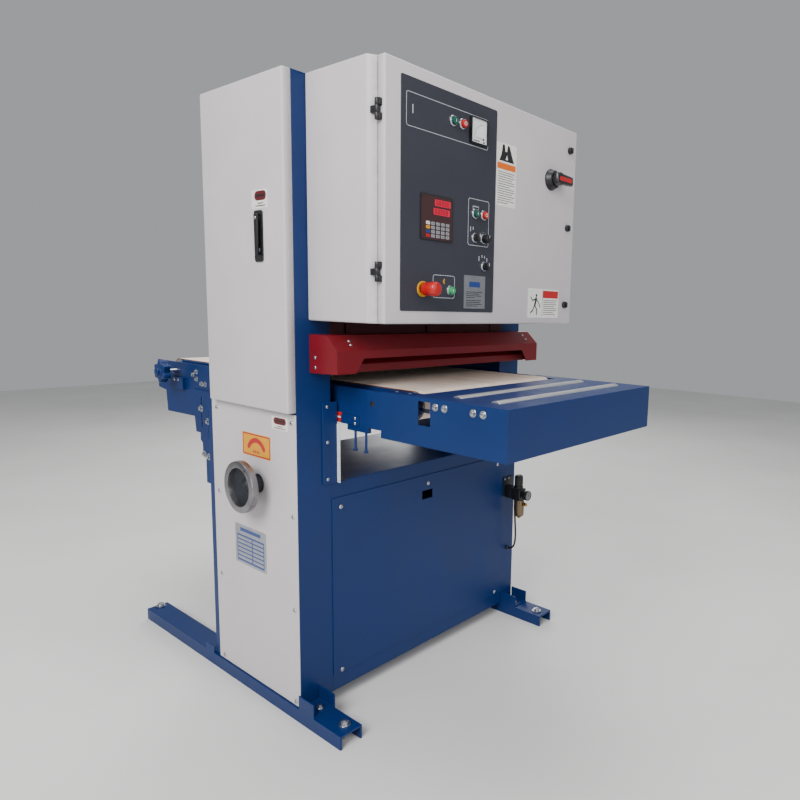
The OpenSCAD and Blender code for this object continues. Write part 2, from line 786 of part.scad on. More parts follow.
module conveyor_belt() {
  color("#e9dccf") translate([-feed_w / 2, feed_front_y, feed_z]) rotate([90, 0, 90])
    belt_loop(feed_r + gap, feed_r + gap, feed_rear_y - feed_front_y, feed_t, feed_w);
}

module feed_roller(y, reach) {
  color(steel) {
    rod_x([-feed_w / 2, feed_w / 2], y, feed_z, feed_r);
    rod_x([-reach[0], reach[1]], y, feed_z, 12.5);
  }
}

module gear_motor() {
  color("#2d3e52") {
    difference() {
      span([side_x, 462], [feed_rear_y - 45, feed_rear_y + 45], [feed_z - 42, feed_z + 36]);
      rod_x([side_x - 1, 441], feed_rear_y, feed_z, 12.5 + fit);
    }
    rod_y([600, feed_rear_y - 45], 426, feed_z - 3, 36);
    rod_y([580, 600], 426, feed_z - 3, 33);
  }
}

module star_knob() {
  color(blue) {
    rod_x([-474, -440], knob_pos[0], knob_pos[1], 33);
    for (turn = [0 : 60 : 300])
      translate([-470, knob_pos[0], knob_pos[1]]) rotate([turn, 0, 0]) translate([0, 0, 31])
        rotate([0, 90, 0]) cylinder(h = 26, r = 15);
    rod_x([-482, -474], knob_pos[0], knob_pos[1], 17);
    rod_x([-440, -side_x], knob_pos[0], knob_pos[1], 9);
  }
}

// ---- drum, motor and rollers ----

module contact_drum() {
  color(rubber) rod_x([-roller_half, roller_half], drum_y, drum_z, drum_r);
  color(steel) {
    rod_x([-350, pulley_x[1] + 4], drum_y, drum_z, drum_shaft_r);
    rod_x(pulley_x, drum_y, drum_z, drum_pulley_r - gap);
  }
}

module motor_pulley() {
  color(steel) {
    rod_x([398, pulley_x[1] + 4], drum_y, motor_z, 19);
    rod_x(pulley_x, drum_y, motor_z, motor_pulley_r - gap);
  }
}

module tension_yoke() {
  color(dark) {
    span([-345, 345], [drum_y - 20, drum_y + 20], [1600, 1630]);
    rod_z([1475, 1601], 0, drum_y, 12.5);
    both_sides() difference() {
      span([333, 345], [drum_y - 25, drum_y + 25], [1600, top_z + 28]);
      rod_x([332, 346], drum_y, top_z, 15 + fit);
    }
  }
}

module pressure_roller(y) {
  color(rubber) rod_x([-roller_half, roller_half], y, pressure_z, pressure_r);
  color(steel) rod_x([-343, 343], y, pressure_z, 10);
}

// A tube on two webs with lightening holes
module upper_roller() {
  shell = 8;
  color(steel) {
    difference() {
      rod_x([-roller_half, roller_half], drum_y, top_z, tension_r);
      rod_x([-roller_half - 1, roller_half + 1], drum_y, top_z, tension_r - shell);
    }
    for (x = [22 - roller_half, roller_half - 32]) difference() {
      rod_x([x, x + 10], drum_y, top_z, tension_r - shell + 0.5);
      for (turn = [45 : 90 : 315])
        translate([x - 1, drum_y, top_z]) rotate([turn, 0, 0]) translate([0, 0, 34]) rotate([0, 90, 0])
          cylinder(h = 12, r = 10);
    }
    rod_x([-343, 343], drum_y, top_z, 15);
  }
}

// ---- air supply ----

module air_regulator() {
  x = regulator_pos[0];
  y = regulator_pos[1];
  color(black) {
    span([x - 30, x + 30], [front_y - 4, front_y], [520, 602]);
    span([x - 14, x + 14], [y + 23, front_y - 4], [530, 556]);
    span([x - 23, x + 23], [y - 23, y + 23], [512, 560]);
    difference() {
      rod_z([560, 572], x, y, 19);
      rod_z([561, 573], x, y, 8 + fit);
    }
    rod_y([y - 53, y - 23], x, 537, 21);
    rod_y([front_y - 12, front_y], 500, 285, 9);
  }
  color("#9a8a70") rod_z([440, 512], x, y - 3, 16);
  color("#c49a4a") {
    rod_y([y - 64, y - 20], x, 497, 6.5);
    rod_z([432, 440], x, y - 3, 6);
  }
}

module regulator_knob() {
  x = regulator_pos[0];
  y = regulator_pos[1];
  color(black) {
    rod_z([572.5, 618], x, y, 18);
    rod_z([562, 573], x, y, 8);
  }
}

// Unit vector, and the ring of tube points round one route point
function unit(v) = v / norm(v);
function heading(i) = unit(tube_route[min(i + 1, len(tube_route) - 1)] - tube_route[max(i - 1, 0)]);
function ring(i, sides) = [for (k = [0 : sides - 1]) let (
    along = heading(i),
    across = [1, 0, 0],
    up = unit(cross(along, across)),
    flat = cross(up, along))
  tube_route[i] + tube_r * (cos(k * 360 / sides) * flat + sin(k * 360 / sides) * up)];

module air_tube() {
  sides = 10;
  rings = len(tube_route);
  points = [for (i = [0 : rings - 1]) each ring(i, sides)];
  skin = [for (i = [0 : rings - 2], k = [0 : sides - 1])
    [i * sides + k, i * sides + (k + 1) % sides, (i + 1) * sides + (k + 1) % sides, (i + 1) * sides + k]];
  ends = [[for (k = [sides - 1 : -1 : 0]) k], [for (k = [0 : sides - 1]) (rings - 1) * sides + k]];
  color(black) polyhedron(points, concat(skin, ends));
}

base_frame();
left_column();
right_column();
head_beam();
foot_rails();
frame_covers();
side_panel();
frame_screws();
rear_cover();
drive_guard();
main_motor();
drive_belt();
sanding_belt();
enclosure();
control_gear();
infeed_hood();
head_plate();
lift_drive();
air_regulator();
air_tube();
side_door();
door_handle();
elec_door();
control_panel();
door_fittings();
disconnect_handle();
latch(latch_zs[0]);  // latch_top
latch(latch_zs[1]);  // latch_middle
latch(latch_zs[2]);  // latch_low
meter();
meter_needle();
push_button(start_pos, "#1f8f6a");  // start_button
push_button(stop_pos, "#d8231f");  // stop_button
push_button(feed_start_pos, "#1f8f6a");  // feed_start_button
push_button(feed_stop_pos, "#d8231f");  // feed_stop_button
push_button(reset_pos, "#35b36b");  // reset_button
selector(feed_select_pos);  // feed_selector
selector(mode_pos);  // mode_selector
speed_knob();
estop_button();
table_frame();
infeed_extension();
conveyor_belt();
gear_motor();
feed_roller(feed_rear_y, [side_x, 440]);  // drive_roller
feed_roller(feed_front_y, [345, 345]);  // tension_roller
idler_roller(idler_y[0]);  // idler_roller_rear
idler_roller(idler_y[1]);  // idler_roller_front
star_knob();
handwheel();
lift_screw(-1);  // lift_screw_left
lift_screw(1);  // lift_screw_right
contact_drum();
motor_pulley();
tension_yoke();
upper_roller();
pressure_roller(pressure_y[0]);  // pressure_roller_front
pressure_roller(pressure_y[1]);  // pressure_roller_rear
infeed_bar();
regulator_knob();
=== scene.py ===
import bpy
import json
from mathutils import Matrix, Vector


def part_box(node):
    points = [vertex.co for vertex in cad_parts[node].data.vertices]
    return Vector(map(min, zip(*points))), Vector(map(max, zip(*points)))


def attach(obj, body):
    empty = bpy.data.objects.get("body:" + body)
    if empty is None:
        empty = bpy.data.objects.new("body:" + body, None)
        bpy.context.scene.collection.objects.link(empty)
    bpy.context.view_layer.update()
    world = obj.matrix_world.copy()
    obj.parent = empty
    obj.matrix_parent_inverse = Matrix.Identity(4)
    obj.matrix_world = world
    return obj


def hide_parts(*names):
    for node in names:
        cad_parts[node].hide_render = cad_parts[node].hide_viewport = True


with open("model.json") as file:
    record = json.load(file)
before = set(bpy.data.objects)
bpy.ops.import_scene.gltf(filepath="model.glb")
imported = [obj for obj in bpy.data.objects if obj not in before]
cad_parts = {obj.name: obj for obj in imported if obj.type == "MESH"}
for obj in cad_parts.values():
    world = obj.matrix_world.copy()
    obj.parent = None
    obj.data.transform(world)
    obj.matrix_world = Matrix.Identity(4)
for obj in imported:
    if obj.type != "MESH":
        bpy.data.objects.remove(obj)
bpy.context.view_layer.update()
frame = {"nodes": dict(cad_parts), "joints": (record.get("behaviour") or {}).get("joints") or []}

import json
import math

import bmesh
import bpy
from mathutils import Matrix, Vector

mm = 0.001
nodes = frame["nodes"]
scene = bpy.context.scene


def hexColour(code):
    # sRGB hex to the linear values that the shaders use
    parts = [int(code[i:i + 2], 16) / 255 for i in (1, 3, 5)]
    return tuple(c / 12.92 if c <= 0.04045 else ((c + 0.055) / 1.055) ** 2.4 for c in parts) + (1.0,)


def low(node):
    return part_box(node)[0] / mm


def high(node):
    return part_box(node)[1] / mm


def middle(node):
    return (low(node) + high(node)) / 2


def axisOf(joint):
    # A point on the joint's axis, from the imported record
    return Vector(next(j["pos_m"] for j in frame["joints"] if j["name"] == joint)) / mm


# Camera

eye = {
    "place": (-1.6665, -1.9257, 1.3091),
    "yaw": -51.71,
    "pitch": -7.95,
    "roll": 1.52,
    "lens": 29.44,
    "shift": -0.125,
}


def aimCamera(eye):
    yaw, pitch, roll = (math.radians(eye[k]) for k in ("yaw", "pitch", "roll"))
    forward = Vector((-math.sin(yaw) * math.cos(pitch), math.cos(yaw) * math.cos(pitch), math.sin(pitch)))
    level = Vector((math.cos(yaw), math.sin(yaw), 0))
    above = level.cross(forward)
    right = level * math.cos(roll) + above * math.sin(roll)
    up = above * math.cos(roll) - level * math.sin(roll)
    data = bpy.data.cameras.new("camera")
    data.lens = eye["lens"]
    data.shift_x = eye["shift"]
    camera = bpy.data.objects.new("camera", data)
    turn = Matrix((right, up, -forward)).transposed().to_4x4()
    camera.matrix_world = Matrix.Translation(eye["place"]) @ turn
    scene.collection.objects.link(camera)
    scene.camera = camera


aimCamera(eye)


# Node and mesh helpers

def addNode(tree, kind, inputs=None, stops=None, **settings):
    node = tree.nodes.new("ShaderNode" + kind)
    for key, value in settings.items():
        setattr(node, key, value)
    for key, value in (inputs or {}).items():
        if isinstance(value, bpy.types.NodeSocket):
            tree.links.new(value, node.inputs[key])
        else:
            node.inputs[key].default_value = value
    if stops:
        for element, (place, colour) in zip(node.color_ramp.elements, stops):
            element.position, element.color = place, colour
    return node


def startMaterial(name, roughness, metallic=0.0, **sockets):
    material = bpy.data.materials.new(name)
    material.use_nodes = True
    tree = material.node_tree
    shader = tree.nodes["Principled BSDF"]
    shader.inputs["Roughness"].default_value = roughness
    shader.inputs["Metallic"].default_value = metallic
    for key, value in sockets.items():
        shader.inputs[key.replace("_", " ")].default_value = value
    return material, tree, shader


def finishPiece(name, bm, materials, body, smooth=35, replaces=()):
    bmesh.ops.remove_doubles(bm, verts=bm.verts, dist=0.002 * mm)
    bmesh.ops.recalc_face_normals(bm, faces=bm.faces)
    mesh = bpy.data.meshes.new(name)
    bm.to_mesh(mesh)
    bm.free()
    for material in materials:
        mesh.materials.append(material)
    mesh.polygons.foreach_set("use_smooth", [True] * len(mesh.polygons))
    mesh.set_sharp_from_angle(angle=math.radians(smooth))
    piece = bpy.data.objects.new(name, mesh)
    scene.collection.objects.link(piece)
    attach(piece, body)
    if replaces:
        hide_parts(*replaces)
    return piece


def paint(geom, index):
    for face in geom:
        face.material_index = index


def addBlock(bm, x, y, z, radius=0.0, index=0, segments=2, taper=None):
    # A block from three [low, high] spans in mm, its edges rounded
    size = Matrix.Diagonal(((x[1] - x[0]) * mm, (y[1] - y[0]) * mm, (z[1] - z[0]) * mm, 1))
    place = Matrix.Translation(Vector((sum(x), sum(y), sum(z))) * (mm / 2))
    made = bmesh.ops.create_cube(bm, size=1, matrix=place @ size)["verts"]
    if taper:
        axis, side, factor = taper
        far = [v for v in made if (v.co - place.translation)[axis] * side > 0]
        bmesh.ops.scale(bm, verts=far, vec=factor, space=Matrix.Translation(-place.translation))
    faces = {f for v in made for f in v.link_faces}
    if radius:
        edges = list({e for v in made for e in v.link_edges})
        faces |= set(bmesh.ops.bevel(bm, geom=edges, offset=radius * mm, segments=segments, profile=0.5,
                                     affect="EDGES", material=-1)["faces"])
    paint([f for f in faces if f.is_valid], index)
    return [f for f in faces if f.is_valid]


def addTurned(bm, centre, along, profile, index=0, steps=48):
    # A profile of (distance along, radius) points in mm, spun round a line through centre
    axis = Vector(along).normalized()
    side = axis.orthogonal().normalized()
    centre = Vector(centre) * mm
    made = [bm.verts.new(centre + axis * (d * mm) + side * (r * mm)) for d, r in profile]
    edges = [bm.edges.new(pair) for pair in zip(made, made[1:])]
    out = bmesh.ops.spin(bm, geom=made + edges, cent=centre, axis=axis, angle=2 * math.pi, steps=steps,
                         use_merge=True)
    points = {v for v in made if v.is_valid} | {g for g in out["geom_last"] if isinstance(g, bmesh.types.BMVert)}
    grown, seen = list(points), set(points)
    while grown:
        for edge in grown.pop().link_edges:
            for v in edge.verts:
                if v not in seen:
                    seen.add(v)
                    grown.append(v)
    faces = {f for v in seen for f in v.link_faces}
    paint(faces, index)
    bmesh.ops.remove_doubles(bm, verts=list(seen), dist=0.01 * mm)


def addHex(bm, centre, along, radius, height, index=0, base=0.0):
    # Six sided head standing on base mm along the direction, with a chamfered rim
    axis = Vector(along).normalized()
    turn = axis.to_track_quat("Z", "Y").to_matrix().to_4x4()
    place = Matrix.Translation((Vector(centre) + axis * (base + height / 2)) * mm) @ turn
    made = bmesh.ops.create_cone(bm, cap_ends=True, segments=6, radius1=radius * mm, radius2=radius * mm,
                                 depth=height * mm, matrix=place)["verts"]
    edges = list({e for v in made for e in v.link_edges})
    out = bmesh.ops.bevel(bm, geom=edges, offset=radius * 0.09 * mm, segments=2, profile=0.5, affect="EDGES",
                          material=-1)
    paint({f for v in out["verts"] for f in v.link_faces}, index)


def addPlate(bm, u, v, depth, radius, face="front", at=0.0, index=0, ring=0.0, corner=5):
    # A flat plate with rounded corners. face front: u is X, v is Z, standing depth mm towards -Y from at
    # face left: u is Y, v is Z, standing towards -X. ring leaves only a border of that width
    if face == "front":
        spot = lambda a, b: Vector((a, at, b)) * mm
        out = Vector((0, -depth * mm, 0))
    elif face == "left":
        spot = lambda a, b: Vector((at, a, b)) * mm
        out = Vector((-depth * mm, 0, 0))
    else:
        spot = lambda a, b: Vector((a, b, at)) * mm
        out = Vector((0, 0, depth * mm))
    made = [bm.verts.new(spot(a, b)) for a, b in ((u[0], v[0]), (u[1], v[0]), (u[1], v[1]), (u[0], v[1]))]
    sheet = bm.faces.new(made)
    if radius:
        rounded = bmesh.ops.bevel(bm, geom=made, offset=radius * mm, segments=corner, profile=0.5,
                                  affect="VERTICES", material=-1)
        sheet = max({f for v in rounded["verts"] for f in v.link_faces}, key=lambda f: f.calc_area())
    keep = [sheet]
    if ring:
        keep = bmesh.ops.inset_region(bm, faces=[sheet], thickness=ring * mm, use_boundary=True,
                                      use_even_offset=True)["faces"]
        bmesh.ops.delete(bm, geom=[sheet], context="FACES")
    made = bmesh.ops.extrude_face_region(bm, geom=keep)["geom"]
    bmesh.ops.translate(bm, verts=[g for g in made if isinstance(g, bmesh.types.BMVert)], vec=out)
    paint({f for g in made if isinstance(g, bmesh.types.BMVert) for f in g.link_faces} | set(keep), index)


def softenEdges(node, width, segments=2):
    # A CAD solid's loose triangles are joined into flat faces, and its sharp edges rolled over
    piece = nodes[node]
    weld = piece.modifiers.new("weld", "WELD")
    weld.merge_threshold = 0.01 * mm
    flat = piece.modifiers.new("flatFaces", "DECIMATE")
    flat.decimate_type = "DISSOLVE"
    flat.angle_limit = math.radians(0.5)
    roll = piece.modifiers.new("rolledEdges", "BEVEL")
    roll.width = width * mm
    roll.segments = segments
    roll.limit_method = "ANGLE"
    roll.angle_limit = math.radians(40)
    roll.harden_normals = False
    return piece


# Air tube, the machine's only free cord

airTube = {
    "route": ((495, -313.5, 512), (495, -313.5, 498), (495.3, -313.6, 480), (496, -314, 462), (496.8, -314.6, 444),
              (497.6, -315.5, 426), (498.3, -316.5, 408), (499, -317.5, 390), (499.5, -318.3, 372),
              (500, -318.8, 354), (500, -318.5, 337), (500, -317, 321), (500, -313.5, 307), (500, -307.5, 296),
              (500, -299, 289), (500, -292, 286.5), (500, -284, 286.5)),
    "diameter": 8.0,
}


def makeAirTube(tube, material):
    curve = bpy.data.curves.new("airTube", "CURVE")
    curve.dimensions = "3D"
    curve.bevel_depth = tube["diameter"] / 2 * mm
    curve.bevel_resolution = 4
    curve.use_fill_caps = True
    line = curve.splines.new("POLY")
    points = [Vector(p) * mm for p in tube["route"]]
    line.points.add(len(points) - 1)
    for point, place in zip(line.points, points):
        point.co = (*place, 1)
    curve.materials.append(material)
    piece = bpy.data.objects.new("airTube", curve)
    scene.collection.objects.link(piece)
    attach(piece, "frame")
    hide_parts("air_tube")
    return piece


# Materials

def paintedSheet(name, colour, shade, peel, roughness, depth, scuffAndHighlight, scuffAndHighlightShare=0.5, coat=0.0):
    # Polyester powder coat, baked on: a fine orange peel, faint mottling, and edges lightened in patches, partly rubbed
    # thin and partly a painted highlight
    material, tree, shader = startMaterial(name, roughness, Coat_Weight=coat, Coat_Roughness=0.25,
                                           Specular_IOR_Level=0.32)
    place = addNode(tree, "TexCoord").outputs["Object"]
    mottle = addNode(tree, "TexNoise", {"Vector": place, "Scale": 1 / (180 * mm), "Detail": 4.0, "Roughness": 0.6})
    grain = addNode(tree, "TexNoise", {"Vector": place, "Scale": 1 / (peel * mm), "Detail": 2.0})
    body = addNode(tree, "Mix", {0: mottle.outputs["Fac"], 6: hexColour(shade), 7: hexColour(colour)},
                   data_type="RGBA")
    fleck = addNode(tree, "MapRange", {"Value": grain.outputs["Fac"], "From Min": 0.3, "From Max": 0.7,
                                       "To Min": 0.93, "To Max": 1.05})
    speckled = addNode(tree, "Mix", {0: 1.0, 6: body.outputs[2], 7: fleck.outputs["Result"]}, data_type="RGBA",
                       blend_type="MULTIPLY")
    # edges: where a 1.5 mm rounded normal leaves the true one
    soft = addNode(tree, "Bevel", {"Radius": 1.5 * mm}, samples=4)
    true = addNode(tree, "NewGeometry")
    lean = addNode(tree, "VectorMath", {0: soft.outputs["Normal"], 1: true.outputs["True Normal"]},
                   operation="DOT_PRODUCT")
    edge = addNode(tree, "MapRange", {"Value": lean.outputs["Value"], "From Min": 0.97, "From Max": 0.8,
                                      "To Min": 0.0, "To Max": scuffAndHighlightShare})
    chip = addNode(tree, "TexNoise", {"Vector": place, "Scale": 1 / (22 * mm), "Detail": 6.0, "Roughness": 0.7})
    patchy = addNode(tree, "MapRange", {"Value": chip.outputs["Fac"], "From Min": 0.42, "From Max": 0.62})
    wearAndHighlight = addNode(tree, "Math", {0: edge.outputs["Result"], 1: patchy.outputs["Result"]}, operation="MULTIPLY")
    # patches along the edges take the lighter colour: partly worn paint, partly a painted highlight on the edge
    final = addNode(tree, "Mix", {0: wearAndHighlight.outputs["Value"], 6: speckled.outputs[2], 7: hexColour(scuffAndHighlight)},
                    data_type="RGBA")
    shine = addNode(tree, "MapRange", {"Value": mottle.outputs["Fac"], "From Min": 0.3, "From Max": 0.7,
                                       "To Min": roughness - 0.05, "To Max": roughness + 0.08})
    bump = addNode(tree, "Bump", {"Height": grain.outputs["Fac"], "Strength": 1.0, "Distance": depth * mm,
                                  "Normal": soft.outputs["Normal"]})
    tree.links.new(final.outputs[2], shader.inputs["Base Color"])
    tree.links.new(shine.outputs["Result"], shader.inputs["Roughness"])
    tree.links.new(bump.outputs["Normal"], shader.inputs["Normal"])
    return material


def workedMetal(name, colour, shade, roughness, stretch=(1, 1, 1), line=0.8, depth=0.01, tone=0.5):
    # Bare or plated metal with the marks of its tool: stretch squeezes the noise into lines across an axis
    material, tree, shader = startMaterial(name, roughness, 1.0)
    place = addNode(tree, "TexCoord").outputs["Object"]
    drawn = addNode(tree, "Mapping", {"Vector": place, "Scale": stretch})
    lines = addNode(tree, "TexNoise", {"Vector": drawn.outputs["Vector"], "Scale": 1 / (line * mm), "Detail": 3.0})
    cloud = addNode(tree, "TexNoise", {"Vector": place, "Scale": 1 / (35 * mm), "Detail": 3.0})
    blend = addNode(tree, "Math", {0: lines.outputs["Fac"], 1: cloud.outputs["Fac"]}, operation="ADD")
    share = addNode(tree, "MapRange", {"Value": blend.outputs["Value"], "From Min": 0.7, "From Max": 1.3,
                                       "To Min": 0.0, "To Max": tone})
    body = addNode(tree, "Mix", {0: share.outputs["Result"], 6: hexColour(colour), 7: hexColour(shade)},
                   data_type="RGBA")
    shine = addNode(tree, "MapRange", {"Value": lines.outputs["Fac"], "From Min": 0.3, "From Max": 0.7,
                                       "To Min": max(0.05, roughness - 0.07), "To Max": roughness + 0.1})
    bump = addNode(tree, "Bump", {"Height": lines.outputs["Fac"], "Strength": 1.0, "Distance": depth * mm})
    tree.links.new(body.outputs[2], shader.inputs["Base Color"])
    tree.links.new(shine.outputs["Result"], shader.inputs["Roughness"])
    tree.links.new(bump.outputs["Normal"], shader.inputs["Normal"])
    return material


def mouldedPlastic(name, colour, shade, roughness, texture=0.6, depth=0.02, **sockets):
    # Injection moulded: a fine spark-eroded texture and slightly uneven gloss
    material, tree, shader = startMaterial(name, roughness, **sockets)
    place = addNode(tree, "TexCoord").outputs["Object"]
    grain = addNode(tree, "TexNoise", {"Vector": place, "Scale": 1 / (texture * mm), "Detail": 2.0})
    cloud = addNode(tree, "TexNoise", {"Vector": place, "Scale": 1 / (25 * mm), "Detail": 3.0})
    body = addNode(tree, "Mix", {0: cloud.outputs["Fac"], 6: hexColour(colour), 7: hexColour(shade)},
                   data_type="RGBA")
    shine = addNode(tree, "MapRange", {"Value": cloud.outputs["Fac"], "From Min": 0.3, "From Max": 0.7,
                                       "To Min": max(0.05, roughness - 0.08), "To Max": roughness + 0.1})
    bump = addNode(tree, "Bump", {"Height": grain.outputs["Fac"], "Strength": 1.0, "Distance": depth * mm})
    tree.links.new(body.outputs[2], shader.inputs["Base Color"])
    tree.links.new(shine.outputs["Result"], shader.inputs["Roughness"])
    tree.links.new(bump.outputs["Normal"], shader.inputs["Normal"])
    return material


def feedBeltRubber(name):
    # Rough top conveyor rubber: a beige crepe surface, greyer along the tracks that boards take, brown cut edges
    material, tree, shader = startMaterial(name, 0.82)
    place = addNode(tree, "TexCoord").outputs["Object"]
    crepe = addNode(tree, "TexVoronoi", {"Vector": place, "Scale": 1 / (5 * mm)})
    fine = addNode(tree, "TexNoise", {"Vector": place, "Scale": 1 / (1.5 * mm), "Detail": 3.0})
    lanes = addNode(tree, "Mapping", {"Vector": place, "Scale": (1.0, 0.12, 1.0)})
    dirt = addNode(tree, "TexNoise", {"Vector": lanes.outputs["Vector"], "Scale": 1 / (60 * mm), "Detail": 4.0})
    body = addNode(tree, "ValToRGB", {"Fac": dirt.outputs["Fac"]},
                   stops=((0.3, hexColour("#d8c4b2")), (0.7, hexColour("#f0e0d2"))))
    pits = addNode(tree, "MapRange", {"Value": crepe.outputs["Distance"], "From Min": 0.0, "From Max": 0.5,
                                      "To Min": 1.0, "To Max": 0.9})
    toned = addNode(tree, "Mix", {0: 1.0, 6: body.outputs["Color"], 7: pits.outputs["Result"]}, data_type="RGBA",
                    blend_type="MULTIPLY")
    apart = addNode(tree, "SeparateXYZ", {"Vector": place})
    offset = addNode(tree, "Math", {0: apart.outputs["X"]}, operation="ABSOLUTE")
    half = high("conveyor_belt").x
    rim = addNode(tree, "MapRange", {"Value": offset.outputs["Value"], "From Min": (half - 2.5) * mm,
                                     "From Max": (half - 1.5) * mm})
    final = addNode(tree, "Mix", {0: rim.outputs["Result"], 6: toned.outputs[2], 7: hexColour("#7a5038")},
                    data_type="RGBA")
    height = addNode(tree, "Math", {0: crepe.outputs["Distance"], 1: fine.outputs["Fac"]}, operation="ADD")
    bump = addNode(tree, "Bump", {"Height": height.outputs["Value"], "Strength": 0.8, "Distance": 0.5 * mm})
    tree.links.new(final.outputs[2], shader.inputs["Base Color"])
    tree.links.new(bump.outputs["Normal"], shader.inputs["Normal"])
    return material


def abrasiveCloth(name):
    # Resin bonded aluminium oxide grit on cloth, drawn 1 mm coarse so that it shows
    material, tree, shader = startMaterial(name, 0.85)
    place = addNode(tree, "TexCoord").outputs["Object"]
    grit = addNode(tree, "TexVoronoi", {"Vector": place, "Scale": 1 / (1.0 * mm)})
    body = addNode(tree, "ValToRGB", {"Fac": grit.outputs["Distance"]},
                   stops=((0.1, hexColour("#9b5a3a")), (0.6, hexColour("#5a2b1a"))))
    bump = addNode(tree, "Bump", {"Height": grit.outputs["Distance"], "Strength": 0.7, "Distance": 0.3 * mm})
    tree.links.new(body.outputs["Color"], shader.inputs["Base Color"])
    tree.links.new(bump.outputs["Normal"], shader.inputs["Normal"])
    return material


def printedFilm(name, colour, glow=0.0):
    # Screen printed polyester film: even ink with a faint roller mottle, semi gloss
    material, tree, shader = startMaterial(name, 0.38, Coat_Weight=0.15)
    place = addNode(tree, "TexCoord").outputs["Object"]
    mottle = addNode(tree, "TexNoise", {"Vector": place, "Scale": 1 / (9 * mm), "Detail": 3.0})
    tone = addNode(tree, "MapRange", {"Value": mottle.outputs["Fac"], "From Min": 0.3, "From Max": 0.7,
                                      "To Min": 0.9, "To Max": 1.04})
    body = addNode(tree, "Mix", {0: 1.0, 6: hexColour(colour), 7: tone.outputs["Result"]}, data_type="RGBA",
                   blend_type="MULTIPLY")
    fine = addNode(tree, "TexNoise", {"Vector": place, "Scale": 1 / (0.8 * mm)})
    bump = addNode(tree, "Bump", {"Height": fine.outputs["Fac"], "Strength": 0.5, "Distance": 0.01 * mm})
    tree.links.new(body.outputs[2], shader.inputs["Base Color"])
    tree.links.new(bump.outputs["Normal"], shader.inputs["Normal"])
    if glow:
        tree.links.new(body.outputs[2], shader.inputs["Emission Color"])
        shader.inputs["Emission Strength"].default_value = glow
    return material


# each coat's last colour lightens its edges in patches: partly worn paint, partly a painted highlight
blueCoat = paintedSheet("bluePowderCoat", "#062c66", "#042354", 1.4, 0.42, 0.035, "#2f578f", 0.4)
lightCoat = paintedSheet("lightGreyPowderCoat", "#cdc7c9", "#c0bbbd", 1.2, 0.45, 0.03, "#e6e2e1", 0.35)
redCoat = paintedSheet("redEnamel", "#7c131e", "#640e18", 1.4, 0.36, 0.03, "#a84048", 0.4, coat=0.1)
# the same red enamel darkened as painted shade, for the front of the head plate
redCoatInPaintedShade = paintedSheet("redEnamelInPaintedShade", "#54101a", "#420c14", 1.4, 0.42, 0.03, "#7c343a", 0.4)
slateCoat = paintedSheet("slatePowderCoat", "#383943", "#2f3039", 0.9, 0.5, 0.03, "#74757d", 0.25)
motorCoat = paintedSheet("motorCastingPaint", "#2e4763", "#22374f", 2.2, 0.45, 0.12, "#7a8ea6")
castIron = workedMetal("greyCastIron", "#4b4e54", "#2f3136", 0.6, line=1.5, depth=0.08)
zincPlate = workedMetal("zincPlatedSteel", "#c9ccd2", "#8f949c", 0.28, line=1.2, depth=0.01)
groundSteel = workedMetal("groundRollerSteel", "#e2e2e2", "#bcbec0", 0.4, (0.05, 1, 1), 2.0, 0.006)
wheelSteel = workedMetal("polishedHandwheelSteel", "#9b999b", "#626266", 0.3, (4, 1, 1), 1.4, 0.01, 0.7)
plateMetal = workedMetal("anodisedPlate", "#b9bbc0", "#8e9096", 0.35, (0.3, 0.3, 4), 1.2, 0.005)
brass = workedMetal("turnedBrass", "#c39a4e", "#8a6529", 0.3, line=1.0, depth=0.01)
bronze = workedMetal("bowlGuardBronze", "#8b7a62", "#5d4f3e", 0.45, line=1.0, depth=0.02)
blackPlastic = mouldedPlastic("blackNylon", "#1d1d20", "#131316", 0.42, 0.7, 0.03)
glossBlack = mouldedPlastic("blackPhenolic", "#141416", "#0c0c0e", 0.22, 1.0, 0.01, Coat_Weight=0.4)
redPlastic = mouldedPlastic("redButtonPlastic", "#c4140e", "#a01010", 0.36, 0.8, 0.01, Coat_Weight=0.15)
greenPlastic = mouldedPlastic("greenButtonPlastic", "#0d5548", "#08403a", 0.32, 0.8, 0.01, Coat_Weight=0.15)
lampGreen = mouldedPlastic("litGreenLens", "#2fb870", "#128048", 0.25, 0.8, 0.01, Coat_Weight=0.4)
yellowPlastic = mouldedPlastic("yellowCollarPlastic", "#e0a200", "#c08600", 0.42)
greyPlastic = mouldedPlastic("greyTerminalPlastic", "#a3a6a6", "#838788", 0.5)
drumRubber = mouldedPlastic("groundNitrileRubber", "#2f2d2c", "#232120", 0.75, 0.5, 0.06)
tubeRubber = mouldedPlastic("polyurethaneTube", "#17171a", "#0e0e10", 0.3, 0.5, 0.01)
beltRubber = feedBeltRubber("roughTopRubber")
abrasive = abrasiveCloth("coatedAbrasiveCloth")
whiteInk = printedFilm("whiteFilm", "#e9e7e3")
greyInk = printedFilm("greyInk", "#8e8f94")
paleInk = printedFilm("paleLineInk", "#b9bbc2")
orangeInk = printedFilm("orangeInk", "#e26a08")
redInk = printedFilm("redInk", "#b80e16")
darkRedInk = printedFilm("darkRedInk", "#5a0d16")
yellowInk = printedFilm("yellowInk", "#e09c00")
blueInk = printedFilm("blueInk", "#173a80")
blackInk = printedFilm("blackInk", "#151518")
dialWhite = printedFilm("dialWhite", "#e6e8ea")
gaugeGrey = printedFilm("gaugeGrey", "#6c6e74")
displayRed = printedFilm("litRedDisplay", "#c00430", 0.4)
displayDark = printedFilm("displayWindow", "#3a1d1f")
print("materials made")

makeAirTube(airTube, tubeRubber)
print("air tube made,", round(sum((Vector(b) - Vector(a)).length for a, b in
                                  zip(airTube["route"], airTube["route"][1:]))), "mm long")


# CAD nodes that keep their shape: rolled edges and a real finish

